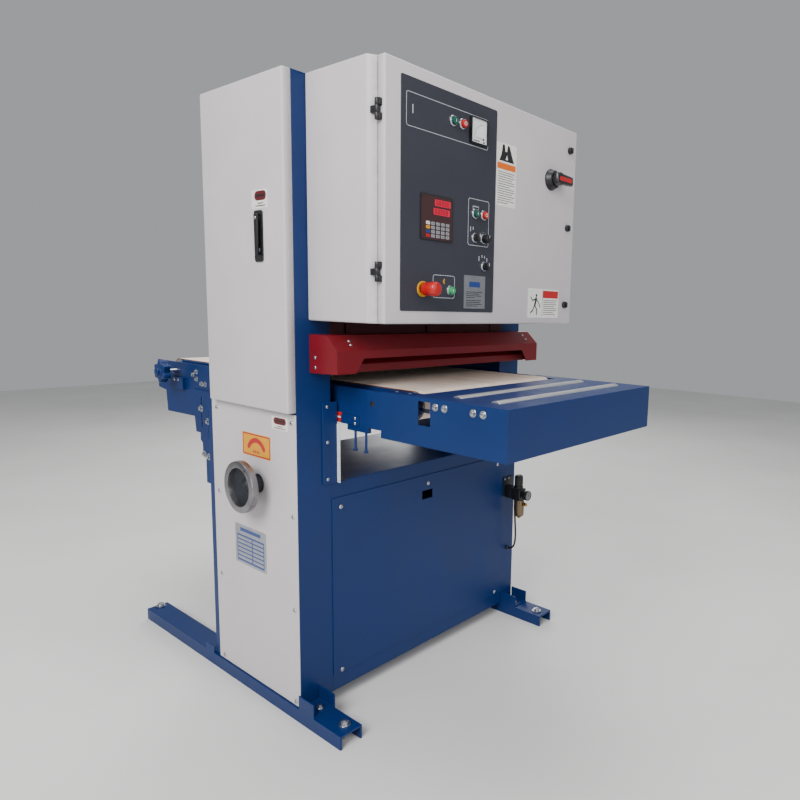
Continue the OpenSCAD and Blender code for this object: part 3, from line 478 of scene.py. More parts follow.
sheetWork = {
    "blue": (blueCoat, 1.3, ("base_frame", "left_column", "right_column", "foot_rails", "frame_covers",
                             "rear_cover", "table_frame", "infeed_extension")),
    "light": (lightCoat, 1.0, ("side_panel", "drive_guard")),
    "red": (redCoat, 1.3, ("infeed_hood", "infeed_bar")),
    # head plate: the red enamel with painted shade
    "redInPaintedShade": (redCoatInPaintedShade, 1.0, ("head_plate",)),
}

plainNodes = {
    "head_beam": slateCoat, "tension_yoke": slateCoat, "main_motor": motorCoat, "gear_motor": motorCoat,
    "control_gear": greyPlastic, "lift_drive": castIron, "drive_belt": drumRubber, "sanding_belt": abrasive,
    "conveyor_belt": beltRubber,
}


def finishNodes():
    for material, width, names in sheetWork.values():
        for name in names:
            softenEdges(name, width)
            for slot in nodes[name].material_slots:
                slot.material = material
    for name, material in plainNodes.items():
        for slot in nodes[name].material_slots:
            slot.material = material


finishNodes()
print("sheet metal finished")


# Belt door on the left column

beltDoor = {"wall": 2.5, "fold": 5.0, "plateDepth": 4.0, "plateHalf": 21.0, "grip": (1446, 1564)}


def makeBeltDoor(door):
    a, b = low("side_door"), high("side_door")
    skinX = a.x + door["plateDepth"]
    bm = bmesh.new()
    faces = addBlock(bm, (skinX, b.x), (a.y, b.y - 9), (a.z, b.z))
    inner = max(faces, key=lambda f: f.calc_center_median().x)
    rim = set(inner.edges)
    bmesh.ops.delete(bm, geom=[inner], context="FACES_ONLY")
    bmesh.ops.bevel(bm, geom=[e for e in bm.edges if e not in rim], offset=door["fold"] * mm, segments=4,
                    profile=0.5, affect="EDGES", material=-1)
    skin = finishPiece("beltDoorSkin", bm, [lightCoat], "side_door", replaces=["side_door"])
    wall = skin.modifiers.new("wall", "SOLIDIFY")
    wall.thickness = door["wall"] * mm
    wall.offset = -1.0

    pivot = middle("door_handle")
    bm = bmesh.new()
    zLow, zHigh = 1427, 1574
    addPlate(bm, (pivot.y - door["plateHalf"], pivot.y + door["plateHalf"]), (zLow, zHigh), door["plateDepth"], 8,
             face="left", at=skinX)
    addPlate(bm, (pivot.y - 15, pivot.y + 15), (zLow + 8, zHigh - 8), 0.4, 6, face="left",
             at=skinX - door["plateDepth"], ring=1.2)
    # lock barrel and the screw over the pivot
    addTurned(bm, (a.x, pivot.y, zLow + 34), (-1, 0, 0), [(0, 8), (2.2, 8), (2.8, 7), (2.8, 4.5), (1.6, 4), (1.6, 0)],
              index=1)
    finishPiece("handlePlate", bm, [glossBlack, zincPlate], "side_door")

    bm = bmesh.new()
    outer = low("door_handle").x
    addBlock(bm, (outer, outer + 8.5), (pivot.y - 9, pivot.y + 9), door["grip"], 3.2,
             taper=(2, -1, (1, 0.8, 1)))
    addTurned(bm, (outer + 8, pivot.y, 1552), (1, 0, 0), [(0, 0), (0, 10), (4, 10), (5, 7), (21, 7), (21, 0)])
    addTurned(bm, (outer, pivot.y, 1552), (-1, 0, 0), [(-1, 0), (-1, 5.2), (0, 5.2), (0.6, 4.6), (0.6, 0)], index=1)
    addBlock(bm, (-560, -556), (pivot.y - 9, pivot.y + 9), (1543, 1592), 1.0, index=1)
    finishPiece("swingHandle", bm, [blackPlastic, zincPlate], "door_handle",
                replaces=["door_handle"])

    # lift-off hinges at the rear edge
    bm = bmesh.new()
    for z in (1090.3, 1470.3, 1850.3):
        addTurned(bm, (-547, 178, z), (0, 0, 1), [(0, 0), (0, 3.4), (0.6, 4), (29, 4), (29.7, 3.4), (29.7, 0)])
        addBlock(bm, (-551, -547.5), (b.y - 10, 178), (z, z + 29), 0.6)
    finishPiece("beltDoorHinges", bm, [lightCoat], "side_door")


makeBeltDoor(beltDoor)
print("belt door made")


# Electrical cabinet, its door and its fittings

cabinet = {"wall": 3.0, "fold": 5.0, "lipX": 16.0, "lipY": 25.0, "lipZ": 6.0, "doorFold": 5.0, "gasket": 0.9}


def makeCabinet(box):
    a, b = low("enclosure"), high("enclosure")
    doorLow, doorHigh = low("elec_door"), high("elec_door")
    frontY = doorHigh.y + 0.5
    bm = bmesh.new()
    x0, x1 = -496, b.x
    outline = [(x0, -272), (x0, frontY + box["lipY"]), (x0 + box["lipX"], frontY), (x1 - box["lipX"], frontY),
               (x1, frontY + box["lipY"]), (x1, -272)]
    floor = bm.faces.new([bm.verts.new(Vector((x, y, a.z)) * mm) for x, y in outline])
    grown = bmesh.ops.extrude_face_region(bm, geom=[floor])["geom"]
    top = [g for g in grown if isinstance(g, bmesh.types.BMVert)]
    bmesh.ops.translate(bm, verts=top, vec=(0, 0, (b.z - a.z) * mm))
    for v in top:   # the front lip also dips at the top
        if abs(v.co.y - frontY * mm) < 0.1 * mm:
            v.co.z -= box["lipZ"] * mm
    bm.faces.ensure_lookup_table()
    mouth = min(bm.faces, key=lambda f: f.calc_center_median().y)
    rim = set(mouth.edges)
    bmesh.ops.delete(bm, geom=[mouth], context="FACES_ONLY")
    bmesh.ops.bevel(bm, geom=[e for e in bm.edges if e not in rim and e.is_manifold], offset=box["fold"] * mm,
                    segments=3, profile=0.5, affect="EDGES", material=-1)
    shell = finishPiece("cabinetShell", bm, [lightCoat], "frame", replaces=["enclosure"])
    wall = shell.modifiers.new("wall", "SOLIDIFY")
    wall.thickness = box["wall"] * mm
    wall.offset = -1.0

    bm = bmesh.new()
    faces = addBlock(bm, (doorLow.x, doorHigh.x), (-588, doorHigh.y - box["gasket"]), (doorLow.z, doorHigh.z))
    back = max(faces, key=lambda f: f.calc_center_median().y)
    rim = set(back.edges)
    bmesh.ops.delete(bm, geom=[back], context="FACES_ONLY")
    bmesh.ops.bevel(bm, geom=[e for e in bm.edges if e not in rim], offset=box["doorFold"] * mm, segments=4,
                    profile=0.5, affect="EDGES", material=-1)
    skin = finishPiece("cabinetDoorSkin", bm, [lightCoat], "elec_door", replaces=["elec_door"])
    wall = skin.modifiers.new("wall", "SOLIDIFY")
    wall.thickness = box["wall"] * mm
    wall.offset = -1.0

    bm = bmesh.new()
    made = [bm.verts.new(Vector(p) * mm) for p in ((-477, doorHigh.y - 2.4, doorLow.z + 2),
                                                   (doorHigh.x - 2, doorHigh.y - 2.4, doorLow.z + 2),
                                                   (doorHigh.x - 2, doorHigh.y - 2.4, doorHigh.z - 2),
                                                   (-477, doorHigh.y - 2.4, doorHigh.z - 2))]
    sheet = bm.faces.new(made)
    keep = bmesh.ops.inset_region(bm, faces=[sheet], thickness=14 * mm, use_boundary=True,
                                  use_even_offset=True)["faces"]
    bmesh.ops.delete(bm, geom=[sheet], context="FACES")
    grown = bmesh.ops.extrude_face_region(bm, geom=keep)["geom"]
    bmesh.ops.translate(bm, verts=[g for g in grown if isinstance(g, bmesh.types.BMVert)], vec=(0, 2.3 * mm, 0))
    finishPiece("doorGasket", bm, [drumRubber], "elec_door")


def makeDoorHinges():
    # Die cast hinges: the middle knuckle on the cabinet, the outer two on the door
    axis = tuple(axisOf("elec_door_swing"))[:2]
    fixed, moving = bmesh.new(), bmesh.new()
    for z in (1371, 1783):
        addTurned(fixed, (*axis, z + 17.3), (0, 0, 1), [(0, 0), (0, 6.2), (0.5, 6.5), (17.9, 6.5), (18.4, 6.2),
                                                        (18.4, 0)])
        addBlock(fixed, (-494, -485), (-569, -547), (z + 17.8, z + 35.2), 1.0)
        for start, size in ((0, 17), (36, 17)):
            addTurned(moving, (*axis, z + start), (0, 0, 1), [(0, 0), (0, 6.0), (0.8, 6.5), (size - 0.8, 6.5),
                                                              (size, 6.0), (size, 0)])
            addBlock(moving, (-490, -472), (-579, -566), (z + start, z + start + size), 1.0)
    finishPiece("hingeFixedKnuckles", fixed, [blackPlastic], "frame")
    finishPiece("hingeDoorKnuckles", moving, [blackPlastic], "elec_door")


makeCabinet(cabinet)
makeDoorHinges()

panel = {
    "x": (-425, -25), "z": (1296, 1911), "corner": 5.0, "face": -590.0, "line": 1.6,
    "frames": (((-407, -67), (1785, 1873)), ((-152, -55), (1497, 1635)), ((-299, -207), (1335, 1401))),
    "keypad": ((-353, -223), (1495, 1620)), "keySize": 12.0,
}


def makePanel(p):
    face = p["face"]
    bm = bmesh.new()
    addPlate(bm, p["x"], p["z"], 2.0, p["corner"], at=face + 2)
    for x, z in p["frames"]:
        addPlate(bm, x, z, 0.3, 7, at=face, index=1, ring=p["line"])
    # small printed marks over the selectors and the feed buttons
    for x, z, w, h in ((-118, 1612, 26, 2), (-118, 1604, 26, 2), (-98, 1460, 3, 14), (-84, 1468, 3, 8),
                       (-72, 1466, 3, 8), (-60, 1458, 3, 12), (-140, 1545, 3, 14), (-128, 1548, 3, 10)):
        addPlate(bm, (x - w / 2, x + w / 2), (z - h / 2, z + h / 2), 0.3, 0.6, at=face, index=1, corner=2)
    addPlate(bm, (-132, -104), (1601, 1615), 0.25, 3, at=face, index=1, ring=0.9)
    # spark mark beside the reset button
    for x, z in ((-252, 1388), (-255, 1383), (-252, 1379)):
        addPlate(bm, (x - 2, x + 2), (z - 3, z + 3), 0.3, 0.8, at=face, index=2, corner=2)
    # scale arc round the speed knob
    for k in range(11):
        angle = math.radians(-60 + k * 24)
        x, z = -82 + 21 * math.sin(angle), 1520 + 21 * math.cos(angle)
        addPlate(bm, (x - 0.9, x + 0.9), (z - 0.9, z + 0.9), 0.3, 0.4, at=face, index=1, corner=2)
    finishPiece("panelPlate", bm, [slateCoat, paleInk, yellowInk], "elec_door",
                replaces=["control_panel"])

    bm = bmesh.new()
    x, z = p["keypad"]
    addPlate(bm, x, z, 3.0, 3, at=face, index=0)
    addPlate(bm, (x[0] + 3, x[1] - 3), (z[0] + 3, z[1] - 3), 0.3, 2, at=face - 3, index=1)
    for wide, row in (((-298, -233), 1600), ((-303, -236), 1576)):
        addPlate(bm, wide, (row - 9, row + 9), 0.5, 1.5, at=face - 3.2, index=2)
        # seven-segment digits behind the window
        for k in range(5):
            left = wide[0] + 6 + k * 11
            for bar in ((row - 6, row - 0.7), (row + 0.7, row + 6)):
                addPlate(bm, (left, left + 1.4), bar, 0.2, 0.3, at=face - 3.7, index=8, corner=1)
                addPlate(bm, (left + 6, left + 7.4), bar, 0.2, 0.3, at=face - 3.7, index=8, corner=1)
            for level in (row - 6.4, row - 0.7, row + 5.2):
                addPlate(bm, (left + 1, left + 6.4), (level, level + 1.3), 0.2, 0.3, at=face - 3.7, index=8,
                         corner=1)
    size = p["keySize"] / 2
    for row in range(4):
        for column in range(5):
            cx, cz = -325 + column * 20, 1544 - row * 11.5 - 2
            tone = (3, 4, 5, 6)[row] if column == 0 else 7
            addPlate(bm, (cx - size - 1, cx + size + 1), (cz - size * 0.72, cz + size * 0.72), 1.0, 1.4,
                     at=face - 3.2, index=tone, corner=3)
            addPlate(bm, (cx - 2, cx + 2), (cz - 0.9, cz + 0.9), 0.2, 0.3, at=face - 4.2, index=1, corner=1)
    for sx in (x[0] + 7, x[1] - 7):
        for sz in (z[0] + 7, z[1] - 7):
            addTurned(bm, (sx, face - 3.2, sz), (0, -1, 0), [(0, 3), (1.2, 2.6), (1.2, 0)], steps=16)
    addBlock(bm, (-343, -233), (-588, -550), (1505, 1610), 2.0)
    finishPiece("keypadUnit", bm, [blackPlastic, displayDark, displayRed, whiteInk, yellowInk, blueInk, redInk,
                                   greyInk, darkRedInk], "elec_door")

    # silver data plate: a blue band and rules, nothing to read
    bm = bmesh.new()
    addPlate(bm, (-166, -67), (1307, 1407), 1.0, 2, at=face)
    addPlate(bm, (-142, -92), (1372, 1388), 0.2, 1, at=face - 1, index=1, corner=2)
    for k in range(8):
        wide = (38, 30, 36, 20, 36, 33, 37, 26)[k]
        addPlate(bm, (-156, -156 + 2 * wide), (1356 - k * 5.6 - (k > 3) * 3, 1358 - k * 5.6 - (k > 3) * 3), 0.2, 0.3,
                 at=face - 1, index=2, corner=1)
    finishPiece("dataPlate", bm, [plateMetal, blueInk, blackInk], "elec_door")


def makeDigit():
    # Zone number on the panel
    curve = bpy.data.curves.new("zoneDigit", "FONT")
    curve.body = "1"
    curve.size = 34 * mm
    curve.align_x = "CENTER"
    curve.align_y = "CENTER"
    curve.extrude = 0.15 * mm
    text = bpy.data.objects.new("zoneDigitText", curve)
    scene.collection.objects.link(text)
    bpy.context.view_layer.update()
    mesh = bpy.data.meshes.new_from_object(text)
    bpy.data.objects.remove(text)
    place = Matrix.Translation(Vector((-383, panel["face"] - 0.15, 1830)) * mm)
    mesh.transform(place @ Matrix.Rotation(math.radians(90), 4, "X"))
    mesh.materials.clear()
    mesh.materials.append(paleInk)
    digit = bpy.data.objects.new("zoneDigit", mesh)
    scene.collection.objects.link(digit)
    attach(digit, "elec_door")


makePanel(panel)
makeDigit()
print("cabinet and panel made")

buttons = {
    "start_button": (greenPlastic, "green_plastic"), "stop_button": (redPlastic, "red_plastic"),
    "feed_start_button": (greenPlastic, "green_plastic"), "feed_stop_button": (redPlastic, "red_plastic"),
    "reset_button": (lampGreen, "green_plastic"),
}


def makeButtons():
    face = panel["face"]
    for node, (material, slotName) in buttons.items():
        c = middle(node)
        bm = bmesh.new()
        addTurned(bm, (c.x, -550, c.z), (0, -1, 0), [(0, 0), (0, 9), (45, 9), (45, 10.6), (53.6, 10.6), (54.8, 9.4),
                                                     (54.6, 8.2), (54.2, 7.6), (54.6, 4), (54.8, 0)])
        # engraved mark: a bar to start, a ring to stop
        if "stop" in node:
            addTurned(bm, (c.x, -604.6, c.z), (0, -1, 0), [(0, 5.2), (0.4, 5.2), (0.4, 3.9), (0, 3.9)], index=1)
        else:
            addPlate(bm, (c.x - 0.8, c.x + 0.8), (c.z - 4.5, c.z + 4.5), 0.4, 0.4, at=-604.6, index=1, corner=2)
        finishPiece(node + "Cap", bm, [material, whiteInk], node, replaces=[node])

    bezels = bmesh.new()
    for node in (*buttons, "feed_selector", "mode_selector", "speed_knob"):
        c = middle(node)
        c = Vector((round(c.x), 0, round(c.z)))
        addTurned(bezels, (c.x, face, c.z), (0, -1, 0), [(0, 11.6), (0, 15), (3.4, 15), (5.6, 13.4), (6, 12.4),
                                                         (5.4, 11.4), (0, 11.4)])
        addBlock(bezels, (c.x - 15, c.x + 15), (-584.5, -545), (c.z - 20, c.z + 20), 2.0, index=1)
    stop = middle("estop_button")
    addTurned(bezels, (stop.x, face, stop.z), (0, -1, 0), [(0, 12), (0, 22), (2.2, 22), (3, 21), (3, 18), (1, 17),
                                                          (1, 12)], index=2, steps=64)
    addBlock(bezels, (stop.x - 15, stop.x + 15), (-584.5, -545), (stop.z - 20, stop.z + 20), 2.0, index=1)
    finishPiece("controlBezels", bezels, [zincPlate, blackPlastic, yellowPlastic], "elec_door")

    for node in ("feed_selector", "mode_selector"):
        c = middle(node)
        bm = bmesh.new()
        addTurned(bm, (c.x, -550, c.z), (0, -1, 0), [(0, 0), (0, 9), (42, 9), (42, 10.8), (51, 10.8), (52, 9.8),
                                                     (52, 0)])
        addBlock(bm, (c.x - 4, c.x + 4), (-614, -600), (c.z - 11.5, c.z + 11.5), 1.8)
        addPlate(bm, (c.x - 0.9, c.x + 0.9), (c.z + 1, c.z + 9.5), 0.3, 0.3, at=-613.9, index=1, corner=2)
        finishPiece(node + "Grip", bm, [blackPlastic, whiteInk], node, replaces=[node])

    c = middle("speed_knob")
    bm = bmesh.new()
    addTurned(bm, (c.x, -550, c.z), (0, -1, 0), [(0, 0), (0, 9), (47, 9), (47, 13), (49, 13), (66, 11.8), (68, 10),
                                                 (68, 0)])
    for k in range(16):
        angle = k * math.pi / 8
        spot = Vector((c.x + 12.2 * math.sin(angle), 0, c.z + 12.2 * math.cos(angle)))
        addTurned(bm, (spot.x, -600, spot.z), (0, -1, 0), [(0, 0), (0, 0.75), (14, 0.6), (15, 0)], steps=8)
    addPlate(bm, (c.x - 0.7, c.x + 0.7), (c.z + 2, c.z + 9.5), 0.2, 0.3, at=-618, index=1, corner=2)
    finishPiece("speedKnobCap", bm, [blackPlastic, whiteInk], "speed_knob",
                replaces=["speed_knob"])

    bm = bmesh.new()
    front = low("estop_button").y
    addTurned(bm, (stop.x, -548, stop.z), (0, -1, 0), [(10, 0), (10, 9), (54, 9), (54, 18.4), (76, 18.4),
                                                       (78.4, 19.2), (79.4, 20), (95, 20), (99, 18.6), (102, 15),
                                                       (103.4, 10), (-548 - front, 0)], steps=64)
    for k in range(3):
        angle = math.radians(90 + k * 120)
        spot = Vector((stop.x + 12 * math.cos(angle), 0, stop.z + 12 * math.sin(angle)))
        addPlate(bm, (spot.x - 2.5, spot.x + 2.5), (spot.z - 1, spot.z + 1), 0.4, 0.8, at=-650.6, index=1, corner=3)
    finishPiece("stopMushroom", bm, [redPlastic, darkRedInk], "estop_button",
                replaces=["estop_button"])


makeButtons()


# Panel meter

meterFace = {"case": 38.0, "depth": 9.5, "lip": 4.0, "arc": 40.0, "ticks": 13}


def makeMeter(m):
    c = Vector((-116, 0, 1830))
    face = panel["face"]
    bm = bmesh.new()
    case, lip = m["case"], m["lip"]
    addPlate(bm, (c.x - case, c.x + case), (c.z - case, c.z + case), m["depth"], 4, at=face, ring=lip)
    addPlate(bm, (c.x - case + lip, c.x + case - lip), (c.z - case + lip, c.z + case - lip), 6, 1, at=face, index=1)
    addPlate(bm, (c.x - case + lip, c.x + case - lip), (c.z - case + lip, c.z - case + 13), 7, 1, at=face, index=1)
    pivot = Vector((c.x + 20, 0, c.z - 20))
    for k in range(m["ticks"]):
        angle = math.radians(k * 90 / (m["ticks"] - 1))
        long = 5 if k % 3 == 0 else 3
        for step in range(3):
            r = m["arc"] + step * long / 3
            x, z = pivot.x - r * math.cos(angle), pivot.z + r * math.sin(angle)
            addPlate(bm, (x - 0.55, x + 0.55), (z - 0.55, z + 0.55), 0.15, 0, at=face - 6, index=2)
    for k in range(40):
        angle = math.radians(k * 90 / 39)
        x, z = pivot.x - m["arc"] * math.cos(angle), pivot.z + m["arc"] * math.sin(angle)
        addPlate(bm, (x - 0.5, x + 0.5), (z - 0.4, z + 0.4), 0.12, 0, at=face - 6, index=2)
    addPlate(bm, (c.x - 26, c.x + 2), (c.z - 30, c.z - 27), 0.2, 0.5, at=face - 7, index=2, corner=2)
    addTurned(bm, (c.x + 21, face - 7, c.z - 29), (0, -1, 0), [(0, 3.4), (0.8, 3), (0.8, 0)], index=0, steps=24)
    finishPiece("meterCase", bm, [glossBlack, dialWhite, blackInk], "elec_door",
                replaces=["meter"])

    bm = bmesh.new()
    addTurned(bm, (pivot.x, face - 6.4, pivot.z), (0, -1, 0), [(0, 0), (0, 3), (1.6, 2.6), (2, 0)], steps=24)
    addBlock(bm, (pivot.x - 38, pivot.x), (face - 7.7, face - 7.3), (pivot.z - 0.6, pivot.z + 0.6),
             taper=(0, -1, (1, 1, 0.4)))
    finishPiece("meterPointer", bm, [blackInk], "meter_needle", replaces=["meter_needle"])


makeMeter(meterFace)


# Main switch and cabinet latches

mainSwitch = {"base": 36.0, "grip": 20.0}


def makeSwitch(s):
    c = axisOf("disconnect_turn")
    bm = bmesh.new()
    addTurned(bm, (c.x, -588, c.z), (0, -1, 0), [(0, 0), (0, s["base"]), (3, s["base"]), (7, s["base"] - 3), (19, 30),
                                                 (22, 27), (22, 0)], steps=64)
    addBlock(bm, (c.x - 35, c.x + 35), (-584.5, -520), (c.z - 35, c.z + 35), 3.0)
    finishPiece("switchBase", bm, [blackPlastic], "elec_door", replaces=["door_fittings"])

    bm = bmesh.new()
    addTurned(bm, (c.x, -562, c.z), (0, -1, 0), [(0, 0), (0, 7), (49, 7), (49, 22), (68, 22), (73, 18), (74, 0)],
              steps=48)
    addBlock(bm, (c.x - 26, c.x + 74), (-635.5, -617), (c.z - s["grip"], c.z + s["grip"]), 7, segments=4,
             taper=(0, 1, (1, 1, 0.8)))
    addPlate(bm, (c.x - 14, c.x + 62), (c.z - 7, c.z + 7), 0.5, 5, at=-635.4, index=1)
    finishPiece("switchHandle", bm, [glossBlack, redInk], "disconnect_handle",
                replaces=["disconnect_handle"])


def makeLatches():
    for node in ("latch_top", "latch_middle", "latch_low"):
        x, _, z = axisOf(node + "_turn")
        bm = bmesh.new()
        addTurned(bm, (x, -566, z), (0, -1, 0), [(0, 0), (0, 8), (22, 8), (22, 12), (31, 12), (33, 10.4), (33, 7),
                                                 (32, 6.4), (32, 0)])
        addBlock(bm, (x - 2.2, x + 2.2), (-604.6, -597), (z - 8.5, z + 8.5), 0.8)
        addBlock(bm, (x - 9, x + 30), (-570, -566), (z - 9, z + 9), 1.0, index=1)
        finishPiece(node + "Cam", bm, [blackPlastic, zincPlate], node, replaces=[node])


makeSwitch(mainSwitch)
makeLatches()
print("door controls made")

# Printed labels, all generic

def printShape(bm, outline, y, index):
    # A flat printed outline of (X, Z) points, facing -Y
    face = bm.faces.new([bm.verts.new(Vector((x, y, z)) * mm) for x, z in outline])
    made = bmesh.ops.extrude_face_region(bm, geom=[face])["geom"]
    bmesh.ops.translate(bm, verts=[g for g in made if isinstance(g, bmesh.types.BMVert)], vec=(0, -0.12 * mm, 0))
    paint({f for g in made if isinstance(g, bmesh.types.BMVert) for f in g.link_faces} | {face}, index)


def makeLabels():
    doorX = low("side_door").x + 4
    front = -588
    bm = bmesh.new()
    # warning picture with an orange band, upper middle of the cabinet door
    addPlate(bm, (-21, 81), (1632, 1825), 0.3, 3, at=front)
    addPlate(bm, (-17, 77), (1745, 1764), 0.15, 1, at=front - 0.3, index=2)
    # picture: a dark machine shape with a pale gap in it
    for shape, tone in ((((-8, 1770), (68, 1770), (58, 1788), (42, 1820), (34, 1820), (30, 1800), (22, 1800),
                          (18, 1820), (8, 1820), (2, 1788)), 1), (((24, 1776), (36, 1776), (30, 1790)), 0)):
        printShape(bm, shape, front - 0.45 - 0.1 * (tone == 0), tone)
    for k in range(14):
        end = (72, 66, 74, 60, 71, 73, 48, 70, 74, 62, 72, 58, 73, 40)[k]
        z = 1736 - k * 7.2
        addPlate(bm, (-13, end), (z - 1, z + 1), 0.12, 0.5, at=front - 0.3, index=3, corner=1)
    # smaller one, lower right
    addPlate(bm, (167, 355), (1281, 1381), 0.3, 3, at=front)
    addPlate(bm, (253.5, 254.5), (1284, 1378), 0.12, 0, at=front - 0.3, index=1)
    addPlate(bm, (256, 351), (1350, 1376), 0.15, 1, at=front - 0.3, index=4)
    # picture: a tilted figure
    for a, b, wide in (((216, 1350), (208, 1322), 9), ((208, 1324), (196, 1306), 5), ((196, 1306), (184, 1298), 5),
                       ((208, 1324), (222, 1308), 5), ((222, 1308), (220, 1292), 5), ((214, 1346), (194, 1340), 4),
                       ((194, 1340), (184, 1352), 4), ((214, 1346), (230, 1334), 4), ((230, 1334), (240, 1318), 4)):
        along = Vector((b[0] - a[0], b[1] - a[1])).normalized() * 1.5
        across = Vector((-along.y, along.x)) * (wide / 3)
        corners = (Vector(a) - along + across, Vector(a) - along - across, Vector(b) + along - across,
                   Vector(b) + along + across)
        printShape(bm, [tuple(c) for c in corners], front - 0.45, 1)
    addPlate(bm, (212, 222), (1353, 1363), 0.15, 4.9, at=front - 0.3, index=1)
    for k in range(8):
        end = (347, 340, 345, 330, 346, 343, 322, 336)[k]
        z = 1342 - k * 7
        addPlate(bm, (260, end), (z - 1, z + 1), 0.12, 0.5, at=front - 0.3, index=3, corner=1)
    finishPiece("cabinetLabels", bm, [whiteInk, blackInk, orangeInk, blackInk, redInk], "elec_door")

    bm = bmesh.new()
    addPlate(bm, (-193, -110), (1580, 1633), 0.3, 3, face="left", at=doorX)
    addPlate(bm, (-186, -126), (1602, 1629), 0.15, 13.4, face="left", at=doorX - 0.3, index=1, corner=10)
    addPlate(bm, (-176, -136), (1612, 1619), 0.15, 2, face="left", at=doorX - 0.45, index=2)
    for z, half in ((1594, 14), (1587, 26)):
        addPlate(bm, (-156 - half, -156 + half), (z - 1.4, z + 1.4), 0.15, 0.6, face="left", at=doorX - 0.3, index=2)
    finishPiece("doorSticker", bm, [whiteInk, darkRedInk, blackInk], "side_door")

    bm = bmesh.new()
    skin = -545
    addPlate(bm, (-233, -148), (925, 966), 0.3, 3, face="left", at=skin)
    addPlate(bm, (-224, -158), (942, 963), 0.15, 10.4, face="left", at=skin - 0.3, index=1, corner=10)
    addPlate(bm, (-212, -170), (950, 955), 0.15, 2, face="left", at=skin - 0.45, index=6)
    for z, half in ((936, 16), (930, 30)):
        addPlate(bm, (-191 - half, -191 + half), (z - 1.2, z + 1.2), 0.15, 0.6, face="left", at=skin - 0.3, index=6)
    # turning sticker: yellow with a red border and a plain red arc
    addPlate(bm, (-138, 22), (820, 895), 0.3, 6, face="left", at=skin, index=2)
    addPlate(bm, (-136, 20), (822, 893), 0.15, 5, face="left", at=skin - 0.3, index=3, ring=4)
    steps = 26
    for k in range(steps):
        angle = math.radians(35 + k * 110 / (steps - 1))
        y, z = -58 + 52 * math.cos(angle), 818 + 56 * math.sin(angle)
        addPlate(bm, (y - 8, y + 8), (z - 8, z + 8), 0.12 + 0.004 * k, 7.9, face="left", at=skin - 0.3,
                 index=3, corner=3)
    for k in range(4):
        addPlate(bm, (-76 + k * 10, -70 + k * 10), (832, 841), 0.12, 1, face="left", at=skin - 0.3, index=3)
    # data plate of the machine
    addPlate(bm, (-101, 82), (440, 574), 1.0, 3, face="left", at=skin, index=4)
    addPlate(bm, (-90, 71), (448, 540), 0.12, 1, face="left", at=skin - 1, index=5)
    for k in range(6):
        z = 455 + k * 14
        addPlate(bm, (-86, -24), (z, z + 9), 0.12, 0.5, face="left", at=skin - 1.12, index=4)
        addPlate(bm, (-18, 67), (z, z + 9), 0.12, 0.5, face="left", at=skin - 1.12, index=4)
    addPlate(bm, (-70, 51), (552, 564), 0.12, 2, face="left", at=skin - 1, index=5)
    for y, z in ((-95, 446), (76, 446), (-95, 568), (76, 568)):
        addTurned(bm, (skin - 1, y, z), (-1, 0, 0), [(0, 2.6), (0.8, 2.1), (1.1, 0)], index=4, steps=16)
    finishPiece("sidePanelLabels", bm, [whiteInk, darkRedInk, yellowInk, redInk, plateMetal, blueInk, blackInk],
                "frame")


makeLabels()


# Handwheel and thickness scale

wheel = {
    "rim": ((20, 0), (20, 14), (26, 22), (17, 59), (3, 61), (0.6, 61.6), (0, 62.4), (0, 80.2), (0.5, 81.6), (2, 82.4),
            (3, 82.5), (19, 82.5), (21.4, 81.8), (22.6, 80), (23, 76), (23, 62), (32, 20), (33, 17), (46, 17), (46, 0)),
    "inset": 0.3,
}


def makeHandwheel(w):
    _, y, z = axisOf("handwheel_turn")
    face = low("handwheel").x + w["inset"]
    bm = bmesh.new()
    addTurned(bm, (face, y, z), (1, 0, 0), w["rim"], steps=96)
    for f in bm.faces:
        c = f.calc_center_median() / mm
        if math.hypot(c.y - y, c.z - z) < 58.5:
            f.material_index = 1
    addTurned(bm, (face, y, z), (1, 0, 0), [(18, 0), (18, 7), (19, 8), (22, 8), (22, 0)], index=1, steps=32)
    addTurned(bm, (face + 40, y, z), (1, 0, 0), [(0, 0), (0, 10), (76, 10), (76, 15), (116, 15), (116, 10), (135, 10),
                                                 (135, 0)])
    # filled hole for a crank on the rim
    addTurned(bm, (face, y - 39, z + 58), (-1, 0, 0), [(-2, 4.4), (0.25, 4.4), (0.25, 0)], index=2, steps=24)
    finishPiece("handwheelRim", bm, [wheelSteel, castIron, blackPlastic], "handwheel",
                replaces=["handwheel"])

    bm = bmesh.new()
    addBlock(bm, (-398.4, -395.6), (-289.3, -276), (750.5, 939.5), 0.3)
    for k in range(37):
        z = 757 + k * 5
        long = 9 if k % 5 == 0 else 5
        addPlate(bm, (-289, -289 + long), (z - 0.4, z + 0.4), 0.2, 0, face="left", at=-398.4, index=1)
        addPlate(bm, (-398, -398 + 2), (z - 0.4, z + 0.4), 0.2, 0, at=-289.3, index=1)
    finishPiece("thicknessScale", bm, [dialWhite, blackInk], "frame")


makeHandwheel(wheel)


# Screws and bolts of the frame

